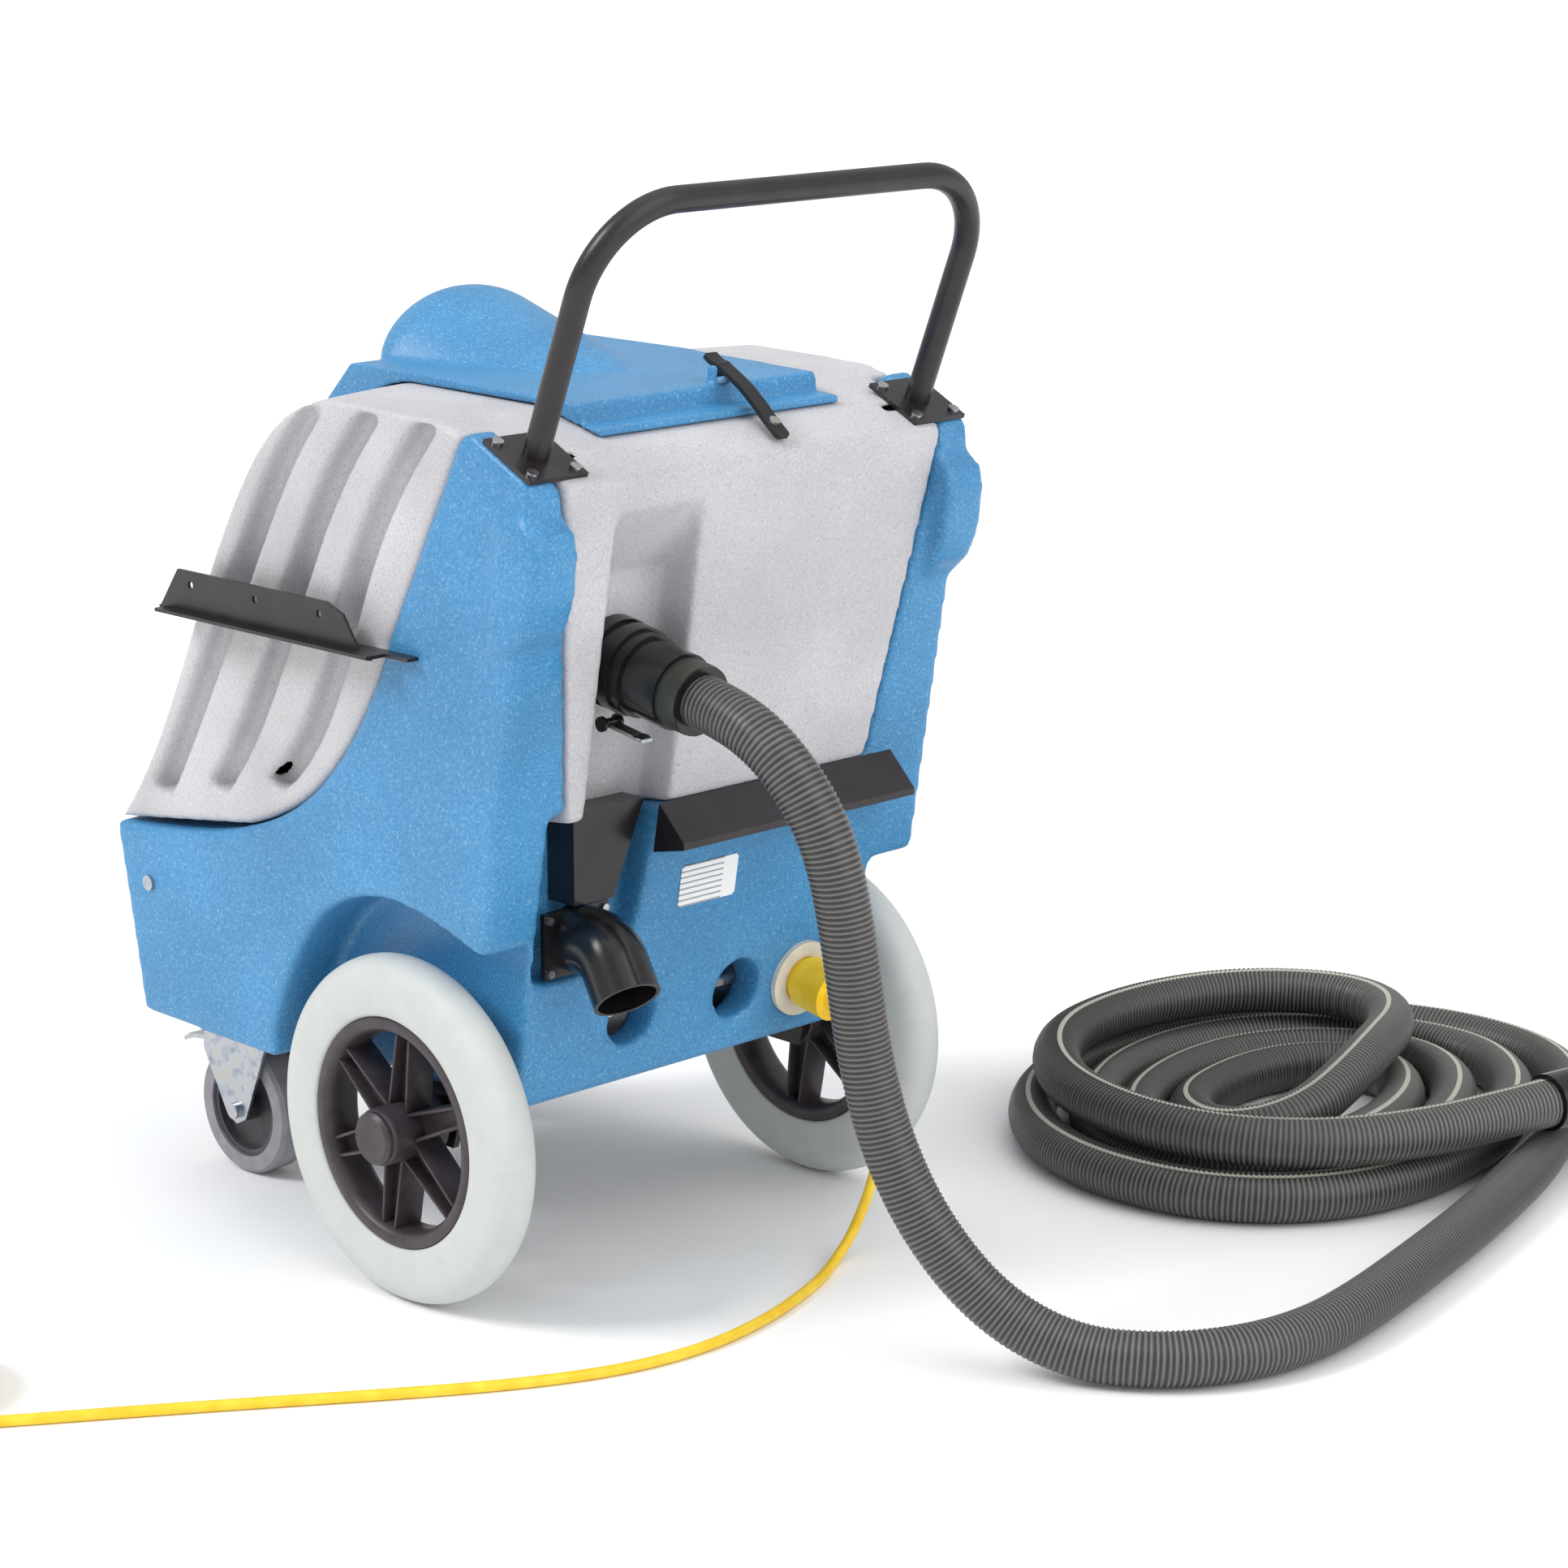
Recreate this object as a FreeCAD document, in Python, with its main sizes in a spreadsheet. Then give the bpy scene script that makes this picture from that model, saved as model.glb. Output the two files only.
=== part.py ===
"""Carpet cleaner machine: a walk-behind box extractor with its vacuum hose and mains lead.

Millimetres, +Z up, +Y the way the machine rolls, +X its right.  Every sub-part is drawn
from the line under the rear axle and set back by axle_back, which centres the machine on Y.
"""
import FreeCAD, Part
import math
import os

V = FreeCAD.Vector
doc = FreeCAD.newDocument("carpet_cleaner")

# ------------------------------------------------------------------ driving dimensions
DIMENSIONS = {
    # whole machine
    "body_half_width": 254, "axle_back": 102, "axle_height": 152.5, "wall": 6,
    "floor_rear_z": 431, "floor_slope": 0.141, "crown_radius": 1050,
    # rear wheels
    "tyre_radius": 152.5, "tyre_inner_radius": 101, "tyre_width": 44, "wheel_middle": 243.5,
    "hub_width": 38, "spoke_count": 6, "spoke_width": 15, "boss_radius": 25, "axle_radius": 8,
    "axle_length": 546, "cap_radius": 23, "cap_face": 285,
    # casters
    "caster_side": 130, "caster_front": 322, "caster_trail": 40, "caster_wheel_radius": 62.5,
    "caster_tread": 34, "caster_top": 164,
    # handle
    "handle_tube_radius": 11, "handle_wall": 2, "handle_side": 220, "handle_lean": 21.8,
    "handle_post": 221, "handle_bend": 80, "plate_size": 62, "plate_thickness": 4,
    # lid and tank
    "lid_half_width": 138, "lid_gap": 1,
    # hose and lead
    "hose_radius": 23.5, "lead_radius": 4.75,
}
sheet = doc.addObject("Spreadsheet::Sheet", "Dimensions")
for row, (alias, value) in enumerate(DIMENSIONS.items(), start=1):
    sheet.set(f"A{row}", alias)
    sheet.set(f"B{row}", str(value))
    sheet.setAlias(f"B{row}", alias)
doc.recompute()

SUB_PARTS = []


def size(alias):
    """One driving dimension, read from the sheet."""
    return float(sheet.get(alias))


def bind(item, settings):
    """Bind an object's properties to expressions; an alias in them is a cell of the sheet."""
    for prop, expression in settings.items():
        for alias in sorted(DIMENSIONS, key=len, reverse=True):
            expression = expression.replace(f"@{alias}", f"Dimensions.{alias}")
        item.setExpression(prop, expression)


def keep(item, label, x="0", y="0", z="0", turn=None):
    """Name a finished sub-part, set its place from the axle line, and list it for export."""
    item.Label = label
    if turn:
        item.Placement.Rotation = turn
    bind(item, {".Placement.Base.x": x, ".Placement.Base.y": f"{y} - @axle_back",
                ".Placement.Base.z": z})
    SUB_PARTS.append(item)
    return item


def shape_part(label, shape, turn=None):
    """A sub-part whose surface no single feature gives; its place is bound like the rest."""
    item = doc.addObject("Part::Feature", label)
    item.Shape = shape
    return keep(item, label, turn=turn)


def cylinder(name, radius, height):
    """An upright cylinder; its radius and height are bound."""
    item = doc.addObject("Part::Cylinder", name)
    bind(item, {"Radius": radius, "Height": height})
    return item


def fuse(name, *items):
    """One solid from several features."""
    item = doc.addObject("Part::MultiFuse", name)
    item.Shapes = list(items)
    return item


def plane_of(body, role):
    """One of a body's own reference planes."""
    return next(f for f in body.Origin.OriginFeatures if f.Role == role)


def draw(sketch, points):
    """A closed outline of straight lines in a sketch."""
    vectors = [V(a, b, 0) for a, b in points]
    for start, end in zip(vectors, vectors[1:] + vectors[:1]):
        sketch.addGeometry(Part.LineSegment(start, end), False)


def turned(name, points):
    """A PartDesign body: a half outline, (radius, along), revolved about the sketch's Y axis."""
    body = doc.addObject("PartDesign::Body", name)
    sketch = body.newObject("Sketcher::SketchObject", name + "_half")
    sketch.AttachmentSupport = (plane_of(body, "XY_Plane"), [""])
    sketch.MapMode = "FlatFace"
    draw(sketch, points)
    revolution = body.newObject("PartDesign::Revolution", name + "_turn")
    revolution.Profile = sketch
    revolution.ReferenceAxis = (sketch, ["V_Axis"])
    revolution.Angle = 360
    return body


def outline_face(pieces, lift):
    """A flat face; a piece of two points is a straight line, a longer one a smooth curve."""
    edges = []
    for piece in pieces:
        points = [lift(*p) for p in piece]
        if len(points) == 2:
            edges.append(Part.makeLine(*points))
        else:
            curve = Part.BSplineCurve()
            curve.interpolate(points)
            edges.append(curve.toShape())
    edges.append(Part.makeLine(lift(*pieces[-1][-1]), lift(*pieces[0][0])))
    return Part.Face(Part.Wire(edges))


def lines(points):
    """Straight pieces through a list of points."""
    return [[start, end] for start, end in zip(points, points[1:])]


def side_prism(pieces, x_from, x_to):
    """An outline in the side view, (y, z), extruded across the machine."""
    face = outline_face(pieces, lambda y, z: V(x_from, y, z))
    return face.extrude(V(x_to - x_from, 0, 0))


def rear_prism(points, y_from, y_to):
    """An outline in the rear view, (x, z), extruded along the machine."""
    face = outline_face(lines(points), lambda x, z: V(x, y_from, z))
    return face.extrude(V(0, y_to - y_from, 0))


def both_sides(shape):
    return [shape, shape.mirror(V(0, 0, 0), V(1, 0, 0))]


def tube_path(points, radii=None):
    """Straight runs joined by tangent arcs; returns the wire and the list of arc radii."""
    corners = [V(*p) for p in points]
    edges, used, start = [], [], corners[0]
    for before, corner, after in zip(corners, corners[1:], corners[2:]):
        back, ahead = before - corner, after - corner
        turn = math.pi - back.getAngle(ahead)
        radius = 0.45 * min(back.Length, ahead.Length) / math.tan(turn / 2)
        if radii:
            radius = radii
        reach = radius * math.tan(turn / 2)
        back.normalize()
        ahead.normalize()
        inside = (back + ahead).normalize()
        enter, leave = corner + back * reach, corner + ahead * reach
        middle = corner + inside * (radius / math.cos(turn / 2) - radius)
        edges += [Part.LineSegment(start, enter).toShape(), Part.Arc(enter, middle, leave).toShape()]
        used.append(radius)
        start = leave
    edges.append(Part.LineSegment(start, corners[-1]).toShape())
    return Part.Wire(edges), used


def swept(points, radius, bend=None):
    """A round bar along a path of runs and arcs."""
    wire, used = tube_path(points, bend)
    heading = V(*points[1]) - V(*points[0])
    section = Part.Wire(Part.makeCircle(radius, V(*points[0]), heading))
    bar = wire.makePipeShell([section], True, False)
    return bar, wire.Length, used


# ------------------------------------------------------------------ shared outlines (y, z)
WALL = size("wall")
HALF = size("body_half_width")
REAR_LEAN = 0.172
REAR_FOOT_Y, REAR_FOOT_Z = -90, 177
CHEEK_TAPER = 0.145
CHEEK_INNER = 177
NORMAL_TILT = math.degrees(math.atan(REAR_LEAN))


def rear_y(z):
    """The machine's back leans out towards its top."""
    return REAR_FOOT_Y - REAR_LEAN * (z - REAR_FOOT_Z)


def floor_z(y):
    """The cradle's floor, which the recovery tank rests on, falls towards the front."""
    return size("floor_rear_z") - size("floor_slope") * (y + 134)


def cheek_x(z, inset=0):
    """Half the gap between the cheeks at a height."""
    return CHEEK_INNER + CHEEK_TAPER * (z - size("floor_rear_z")) - inset


LOW, HIGH, BEHIND, AHEAD = 100, 900, -260, 480
CHEEK_TOP, CHEEK_KNEE = (-96, 757), (1, 575)
CHEEK_CURVE = [CHEEK_KNEE, (60, 476), (117, 422), (197, 384), (300, 362), (430, 352)]


def crown(front, half_width, pieces):
    """A side outline extruded across the machine, with its front bowed forward in plan."""
    radius = size("crown_radius")
    centre_y = front[0][0] - radius
    around = lines([(centre_y, HIGH), (centre_y, LOW), (front[0][0], LOW), front[0]]) + \
        [front, [front[-1], (front[-1][0], HIGH)]]
    disc = outline_face(around, lambda y, z: V(0, y, z))
    disc = disc.revolve(V(0, centre_y, 0), V(0, 0, 1), 360)
    return side_prism(pieces, -half_width, half_width).common(disc)


def tank_space(inset):
    """The recovery tank's outer shape, drawn in by inset: broad ahead of the cheeks, narrow between."""
    half = HALF - 5 - inset
    foot, toe = floor_z(-134) + inset, floor_z(424) + inset
    front = [(424, 356), (322, 522), (240, 678), (188, 740), (112, 769)]
    front = [(y - inset, z - 0.5 * inset) for y, z in front]
    back = [(112 - inset, 769 - 0.5 * inset), (-60, 766 - inset), (-150, 744 - inset),
            (rear_y(724) + inset, 724 - inset), (rear_y(foot) + inset, foot), (424 - inset, toe)]
    whole = crown(front, half, [front] + lines(back))
    narrow = rear_prism([(-cheek_x(LOW, inset + 2), LOW), (cheek_x(LOW, inset + 2), LOW),
                         (cheek_x(HIGH, inset + 2), HIGH), (-cheek_x(HIGH, inset + 2), HIGH)],
                        BEHIND, AHEAD)
    gap = 2 + inset
    knee = [(y + 0.85 * gap, z + 0.6 * gap) for y, z in CHEEK_CURVE]
    top = (CHEEK_TOP[0] + gap, HIGH)
    broad = side_prism([[top, (CHEEK_TOP[0] + gap, CHEEK_TOP[1])],
                        [(CHEEK_TOP[0] + gap, CHEEK_TOP[1]), knee[0]], knee]
                       + lines([knee[-1], (AHEAD, knee[-1][1]), (AHEAD, HIGH)]), -half, half)
    return whole.common(narrow.fuse(broad))


# ------------------------------------------------------------------ blue body: solution tank
BASE_FRONT = [(392, 182), (404, 250), (424, 354)]
base_outline = [[(REAR_FOOT_Y, REAR_FOOT_Z), (rear_y(712), 712)],
                [(rear_y(712), 712), (-174, 732)], [(-174, 732), (-112, 764)],
                [(-112, 764), CHEEK_TOP], [CHEEK_TOP, CHEEK_KNEE], CHEEK_CURVE,
                [(430, 352), (424, 182)]]
body = crown(BASE_FRONT, HALF, base_outline)


def wheel_well(inset):
    """The space over and behind a rear wheel, open outward, downward and to the rear."""
    arch = [(168, 205), (140, 270), (92, 328), (30, 352), (-40, 348), (-100, 330)]
    arch = [(y + inset, z + inset) for y, z in arch]
    pieces = [arch] + lines([arch[-1], (-150, 324 + inset), (BEHIND, 324 + inset),
                             (BEHIND, LOW), (arch[0][0], LOW), arch[0]])
    return side_prism(pieces[:-1], 200 - inset, 300)


def cradle(inset):
    """The space between the cheeks that the recovery tank drops into."""
    outline = [(-cheek_x(LOW) - inset, LOW), (cheek_x(LOW) + inset, LOW),
               (cheek_x(HIGH) + inset, HIGH), (-cheek_x(HIGH) - inset, HIGH)]
    above = side_prism(lines([(BEHIND, HIGH), (BEHIND, floor_z(BEHIND) - inset),
                              (AHEAD, floor_z(AHEAD) - inset), (AHEAD, HIGH)]), -300, 300)
    return rear_prism(outline, BEHIND, AHEAD).common(above)


BAY_HALF, BAY_REAR, BAY_FRONT, BAY_SKIN = 186, -52, 352, 8


def bay(inset):
    """The space for the motors and the pump, open below."""
    rear, front = BAY_REAR - inset, BAY_FRONT + inset
    drop = BAY_SKIN - inset
    return side_prism(lines([(rear, LOW), (rear - 22, floor_z(rear) - drop),
                             (front, floor_z(front) - drop), (front, LOW)]),
                      -BAY_HALF - inset, BAY_HALF + inset)


for well in both_sides(wheel_well(0)):
    body = body.cut(well)
body = body.cut(cradle(0)).cut(bay(0))
GRIP = [(698, 2), (688, -14), (668, -21), (630, -22), (606, -15), (588, 2)]
grip_outline = [(rear_y(z) + out, z) for z, out in GRIP]
grip_outline += [(rear_y(588) + 34, 588), (rear_y(698) + 34, 698)]
for grip in both_sides(side_prism(lines(grip_outline), 214, 261)):
    body = body.fuse(grip)
chute_recess = rear_prism([(-196, 440), (-66, 440), (-92, 292), (-196, 292)], BEHIND, -88)
body = body.cut(chute_recess)
PORTS = [(-74, 238), (51, 236)]
PORT_RADIUS = 27
INLET = (127, 231)
for x, z in PORTS + [INLET]:
    bore = Part.makeCylinder(PORT_RADIUS, 160, V(x, -200, z), V(0, 1, 0))
    body = body.cut(bore)
hollow_side = [[(REAR_FOOT_Y + WALL, REAR_FOOT_Z + WALL), (rear_y(705) + WALL, 705)],
               [(rear_y(705) + WALL, 705), (-170, 722)], [(-170, 722), (-116, 750)],
               [(-116, 750), (CHEEK_KNEE[0] - 7, CHEEK_KNEE[1] - 3)],
               [(CHEEK_KNEE[0] - 7, CHEEK_KNEE[1] - 3)] + [(y - 3, z - 7) for y, z in CHEEK_CURVE[1:]],
               [(427, 345), (421, 188)]]
hollow_front = [(y - WALL, z) for y, z in BASE_FRONT]
hollow = crown(hollow_front, HALF - WALL, hollow_side).cut(cradle(WALL)).cut(bay(WALL))
for well in both_sides(wheel_well(WALL)):
    hollow = hollow.cut(well)
hollow = hollow.cut(rear_prism([(-202, 446), (-58, 446), (-84, 286), (-202, 286)], BEHIND, -82))
for x, z in PORTS + [INLET]:
    bore = Part.makeCylinder(PORT_RADIUS + WALL, 160, V(x, -200, z), V(0, 1, 0))
    hollow = hollow.cut(bore)
body = body.cut(hollow)

PLATE_TILT = 26.6
PLATE_AT = (-149, 741.5)
SCREW_REACH = 23


def on_plate(side, across, along, up=0):
    """A point on a handle plate: across X, along its slope towards the front, and above it."""
    tilt = math.radians(PLATE_TILT)
    y = PLATE_AT[0] + along * math.cos(tilt) - up * math.sin(tilt)
    z = PLATE_AT[1] + along * math.sin(tilt) + up * math.cos(tilt)
    return V(side * size("handle_side") + across, y, z)


UP_PLATE = V(0, -math.sin(math.radians(PLATE_TILT)), math.cos(math.radians(PLATE_TILT)))
plate_corners = [(side, a, b) for side in (-1, 1) for a in (-SCREW_REACH, SCREW_REACH)
                 for b in (-SCREW_REACH, SCREW_REACH)]
for side in (-1, 1):
    seat = Part.makeBox(90, 90, 60, V(-45, -45, 0))
    seat.Placement = FreeCAD.Placement(on_plate(side, 0, 0), FreeCAD.Rotation(V(1, 0, 0), PLATE_TILT))
    body = body.cut(seat)
for side, across, along in plate_corners:
    if abs(side * size("handle_side") + across) > 208:
        shank = Part.makeCylinder(2.5, 9, on_plate(side, across, along, -5), UP_PLATE)
        body = body.cut(shank)
print("solution tank", len(body.Solids), "solids, shell", round(body.Volume / 1e6, 2), "litres of wall,",
      round(hollow.Volume / 1e6, 1), "litres inside")

# ------------------------------------------------------------------ recovery tank
RIB = [(331, 392), (258, 512), (186, 640), (138, 716), (98, 762)]
RIB_STEP, RIB_HALF, RIB_DEPTH = -82, 15, 20


def rib_groove(count, grow):
    """One slanted groove in the tank's side, parallel to its front."""
    half = RIB_HALF + grow
    shift = [(y + RIB_STEP * count * (0.9 if z > 600 else 1), z) for y, z in RIB]
    shift[0] = (shift[0][0] + 0.6 * grow, shift[0][1] + 16 * count - grow)
    ahead = [(y + half, z) for y, z in shift]
    rear = [(y - half, z) for y, z in reversed(shift)]
    outer = HALF - 5
    return side_prism([ahead, [ahead[-1], rear[0]], rear], outer - RIB_DEPTH - grow, outer + 20)


tank = tank_space(0)
tank_inside = tank_space(WALL)
RECESS_LEFT, RECESS_RIGHT, RECESS_DEEP, RECESS_TOP = -156, -62, 40, 696


def coupler_recess(grow):
    """The pocket in the tank's back round the hose inlet, open below, with a sloping ceiling."""
    deep = RECESS_DEEP + grow
    outline = [(BEHIND, RECESS_TOP + grow), (rear_y(RECESS_TOP) + grow, RECESS_TOP + grow),
               (rear_y(634) + deep, 634 + grow), (rear_y(400) + deep, 400), (BEHIND, 400)]
    return side_prism(lines(outline), RECESS_LEFT - grow, RECESS_RIGHT + grow)


tank = tank.cut(coupler_recess(0))
tank_inside = tank_inside.cut(coupler_recess(WALL))
for count in range(3):
    for groove in both_sides(rib_groove(count, 0)):
        tank = tank.cut(groove)
    for groove in both_sides(rib_groove(count, WALL)):
        tank_inside = tank_inside.cut(groove)
print("tank outer", round(tank.Volume / 1e6, 1), "inside", round(tank_inside.Volume / 1e6, 1), "litres")
tank = tank.cut(tank_inside)
MOUTH_HALF, MOUTH_REAR, MOUTH_FRONT = 104, -104, 96
mouth = Part.makeBox(2 * MOUTH_HALF, MOUTH_FRONT - MOUTH_REAR, 100, V(-MOUTH_HALF, MOUTH_REAR, 720))
tank = tank.cut(mouth)

# ------------------------------------------------------------------ inlet coupler on the tank
OUT = V(0, -math.cos(math.radians(NORMAL_TILT)), -math.sin(math.radians(NORMAL_TILT)))
COUPLER_X, COUPLER_Z = -112, 559
COUPLER_AT = V(COUPLER_X, rear_y(COUPLER_Z) + RECESS_DEEP, COUPLER_Z)
SPIGOT_RADIUS, BORE_RADIUS = 29, 22


def along_coupler(distance, aside=0, up=0):
    """A point beside the coupler's axis, a distance out from the tank."""
    lift = V(0, -OUT.z, OUT.y) * -1
    return COUPLER_AT + OUT * distance + V(aside, 0, 0) + lift * up


def ring(outer, inner, start, length):
    """A hollow round piece on the coupler's axis."""
    whole = Part.makeCylinder(outer, length, along_coupler(start), OUT)
    return whole.cut(Part.makeCylinder(inner, length + 2, along_coupler(start - 1), OUT))


tank = tank.cut(Part.makeCylinder(SPIGOT_RADIUS, 30, along_coupler(-20), OUT))
spigot = ring(SPIGOT_RADIUS, BORE_RADIUS, -14, 62).fuse(ring(39, BORE_RADIUS, 0, 14))
shape_part("inlet_spigot", spigot)
COUPLER_START, COUPLER_END = 14.3, 112
coupler = ring(36, SPIGOT_RADIUS + 0.1, COUPLER_START, 34).fuse(ring(33, BORE_RADIUS, 48.3, 40))
coupler = coupler.fuse(ring(30, BORE_RADIUS, 88.3, COUPLER_END - 88.3)).fuse(ring(38.5, 35.9, 22, 14))
LEVER_ASIDE, LEVER_UP = -20, -43.5
ACROSS_X = V(1, 0, 0)
lever_pivot = along_coupler(29, LEVER_ASIDE, LEVER_UP)
for aside in (-10.3, 7.3):
    coupler = coupler.fuse(Part.makeCylinder(6.5, 3, lever_pivot + V(aside, 0, 0), ACROSS_X))
coupler = coupler.fuse(Part.makeCylinder(1.5, 20, lever_pivot + V(-10, 0, 0), ACROSS_X))
shape_part("hose_coupler", coupler)

sump = rear_prism([(-160, 436), (-80, 436), (-116, 356), (-160, 356)], -122, -90)
print("recovery tank", len(tank.Solids), "solids")

# ------------------------------------------------------------------ lid
LID_FRONT, LID_REAR = 236, -137
LID_SKIN = 5
DOME_Y, DOME_Z, DOME_HALF, DOME_RISE, DOME_FALL = 186, 772, 100, 62, 17.4


def lid_space(grow, open_below=0):
    """The lid's outer shape, grown outward: a slab over the tank's top with a dome at its front."""
    half = size("lid_half_width") + grow
    lip, brow_foot = 734 - open_below, 690 - open_below
    slab = side_prism(lines([(LID_REAR - grow, lip), (LID_REAR - grow, 756 + grow),
                             (-110 - grow, 757 + grow), (-108 - grow, 773 + grow), (60, 778 + grow),
                             (186, 778 + grow), (LID_FRONT + grow, 726), (LID_FRONT + grow, brow_foot),
                             (LID_FRONT - 50, brow_foot), (60, lip)]), -half, half)
    brow, rise = DOME_HALF + grow, DOME_RISE + grow
    arch = [Part.Arc(V(-brow, 0, 0), V(0, 0, rise), V(brow, 0, 0)).toShape(),
            Part.makeLine(V(brow, 0, 0), V(-brow, 0, 0))]
    section = Part.Face(Part.Wire(arch))
    nose = section.revolve(V(0, 0, 0), V(1, 0, 0), 360)
    ridge = section.extrude(V(0, -210, 0)).fuse(Part.makeBox(2 * brow, 210, 60, V(-brow, -210, -60)))
    dome = nose.fuse(ridge)
    dome.Placement = FreeCAD.Placement(V(0, DOME_Y, DOME_Z), FreeCAD.Rotation(V(1, 0, 0), DOME_FALL))
    above = Part.makeBox(400, 400, 200, V(-200, -60, 730))
    return slab.fuse(dome.common(above))


lid = lid_space(0)
clear_tank = tank_space(-size("lid_gap"))
lid_inside = lid_space(-LID_SKIN, 120)
lid = lid.cut(lid_inside).cut(clear_tank)
lid = max(lid.Solids, key=lambda solid: solid.Volume)

# ------------------------------------------------------------------ lid: gasket, hinge, latch
gasket_outer = Part.makeBox(2 * MOUTH_HALF + 30, 226, 40, V(-MOUTH_HALF - 15, -117, 745))
gasket_inner = Part.makeBox(2 * MOUTH_HALF + 6, 206, 60, V(-MOUTH_HALF - 3, -107, 735))
gasket_top = side_prism(lines([(-200, 700), (-150, 748), (-60, 771), (112, 774), (112, 700)]), -150, 150)
gasket = gasket_outer.cut(gasket_inner).common(gasket_top)
gasket = gasket.cut(tank_space(0).translated(V(0, 0, 0.3))).cut(lid)
shape_part("lid_gasket", max(gasket.Solids, key=lambda solid: solid.Volume))

HINGE_Y, HINGE_Z, PIN_RADIUS = 249, 706, 3
pin_turn = FreeCAD.Rotation(V(0, 1, 0), 90)
hinge_pin = cylinder("pin", "3", "200")
keep(hinge_pin, "hinge_pin", x="-100", y="249", z="706", turn=pin_turn)


def across(radius, start, length, y, z):
    """A round bar along X."""
    return Part.makeCylinder(radius, length, V(start, y, z), V(1, 0, 0))


lid_leaf = Part.makeBox(60, 3, 20, V(-30, LID_FRONT + 0.2, HINGE_Z))
lid_leaf = lid_leaf.fuse(across(6.5, -30, 60, HINGE_Y, HINGE_Z))
lid_leaf = lid_leaf.cut(across(PIN_RADIUS + 0.05, -40, 80, HINGE_Y, HINGE_Z)).cut(lid_space(0))
shape_part("hinge_leaf_lid", lid_leaf)
tank_leaf = None
for x in (-90, 40):
    foot = side_prism(lines([(HINGE_Y - 4, HINGE_Z - 2), (HINGE_Y - 30, HINGE_Z - 36),
                             (HINGE_Y - 8, HINGE_Z - 42), (HINGE_Y + 4, HINGE_Z - 6)]), x, x + 50)
    leaf = across(6.5, x, 50, HINGE_Y, HINGE_Z).fuse(foot)
    leaf = leaf.cut(across(PIN_RADIUS, x - 5, 60, HINGE_Y, HINGE_Z)).cut(lid_space(0.5))
    tank_leaf = leaf if tank_leaf is None else tank_leaf.fuse(leaf)
shape_part("hinge_leaf_tank", tank_leaf.cut(tank_space(0)))

STRAP_X, STRAP_HALF, EAR = 30, 7.5, 4
LATCH_Y, LATCH_Z, LATCH_PIN = -103, 785, 3
strap_left = STRAP_X - STRAP_HALF
STRAP = [(LATCH_Y - 3, LATCH_Z - 6), (-138, 760), (-152, 747), (-176, 732.5), (-180, 737),
         (-146, 769), (LATCH_Y - 4, LATCH_Z + 6.5), (LATCH_Y + 2, LATCH_Z + 6.5), (-90, 799),
         (-86, 796), (LATCH_Y + 6, LATCH_Z)]
strap = side_prism(lines(STRAP), strap_left, strap_left + 2 * STRAP_HALF)
strap = strap.fuse(across(6.5, strap_left, 2 * STRAP_HALF, LATCH_Y, LATCH_Z))
strap = strap.cut(across(LATCH_PIN + 0.05, 0, 60, LATCH_Y, LATCH_Z))
SLOPE_UP = V(0, -0.518, 0.855)
strap_screw = Part.makeCylinder(5, 3, V(STRAP_X, -166, 746.5), SLOPE_UP)
strap = strap.cut(strap_screw).cut(Part.makeCylinder(5, 20, V(STRAP_X, -166, 746.5), SLOPE_UP))
shape_part("latch_strap", strap)
shape_part("latch_button", strap_screw)
keeper = across(LATCH_PIN, strap_left - EAR - 0.5, 2 * (STRAP_HALF + EAR) + 1, LATCH_Y, LATCH_Z)
for x in (strap_left - EAR - 0.5, strap_left + 2 * STRAP_HALF + 0.5):
    keeper = keeper.fuse(Part.makeBox(EAR, 12, 21, V(x, LATCH_Y - 5, 769)))
lid = lid.fuse(keeper)
shape_part("recovery_lid", lid)
print("lid", len(lid.Solids), "solids", round(lid.Volume / 1e6, 2), "litres")

# ------------------------------------------------------------------ handle
lean = math.radians(size("handle_lean"))
post, top_bend = size("handle_post"), size("handle_bend")
side_x = size("handle_side")
foot_y, foot_z = PLATE_AT[0], PLATE_AT[1] + 1
head_y, head_z = foot_y - post * math.sin(lean), foot_z + post * math.cos(lean)
route = [(-side_x, foot_y, foot_z), (-side_x, head_y, head_z), (side_x, head_y, head_z),
         (side_x, foot_y, foot_z)]
tube, _, _ = swept(route, size("handle_tube_radius"), top_bend)
bore, _, _ = swept(route, size("handle_tube_radius") - size("handle_wall"), top_bend)
handle = tube.cut(bore)
half_plate, thick = size("plate_size") / 2, size("plate_thickness")
for side in (-1, 1):
    place = FreeCAD.Placement(on_plate(side, 0, 0), FreeCAD.Rotation(V(1, 0, 0), PLATE_TILT))
    plate = Part.makeBox(2 * half_plate, 2 * half_plate, thick, V(-half_plate, -half_plate, 0))
    plate.Placement = place
    below = Part.makeBox(100, 100, 40, V(-50, -50, -40))
    below.Placement = place
    handle = handle.cut(below).fuse(plate)
heads = []
for side, aside, along in plate_corners:
    hole = Part.makeCylinder(2.5, 12, on_plate(side, aside, along, -4), UP_PLATE)
    handle = handle.cut(hole)
    reach = 9 if abs(side * side_x + aside) > 208 else 4
    shank = Part.makeCylinder(2.5, reach, on_plate(side, aside, along, thick - reach), UP_PLATE)
    heads.append(Part.makeCylinder(5, 3, on_plate(side, aside, along, thick), UP_PLATE).fuse(shank))
shape_part("push_handle", handle.removeSplitter())
shape_part("handle_screws", Part.makeCompound(heads))

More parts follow.
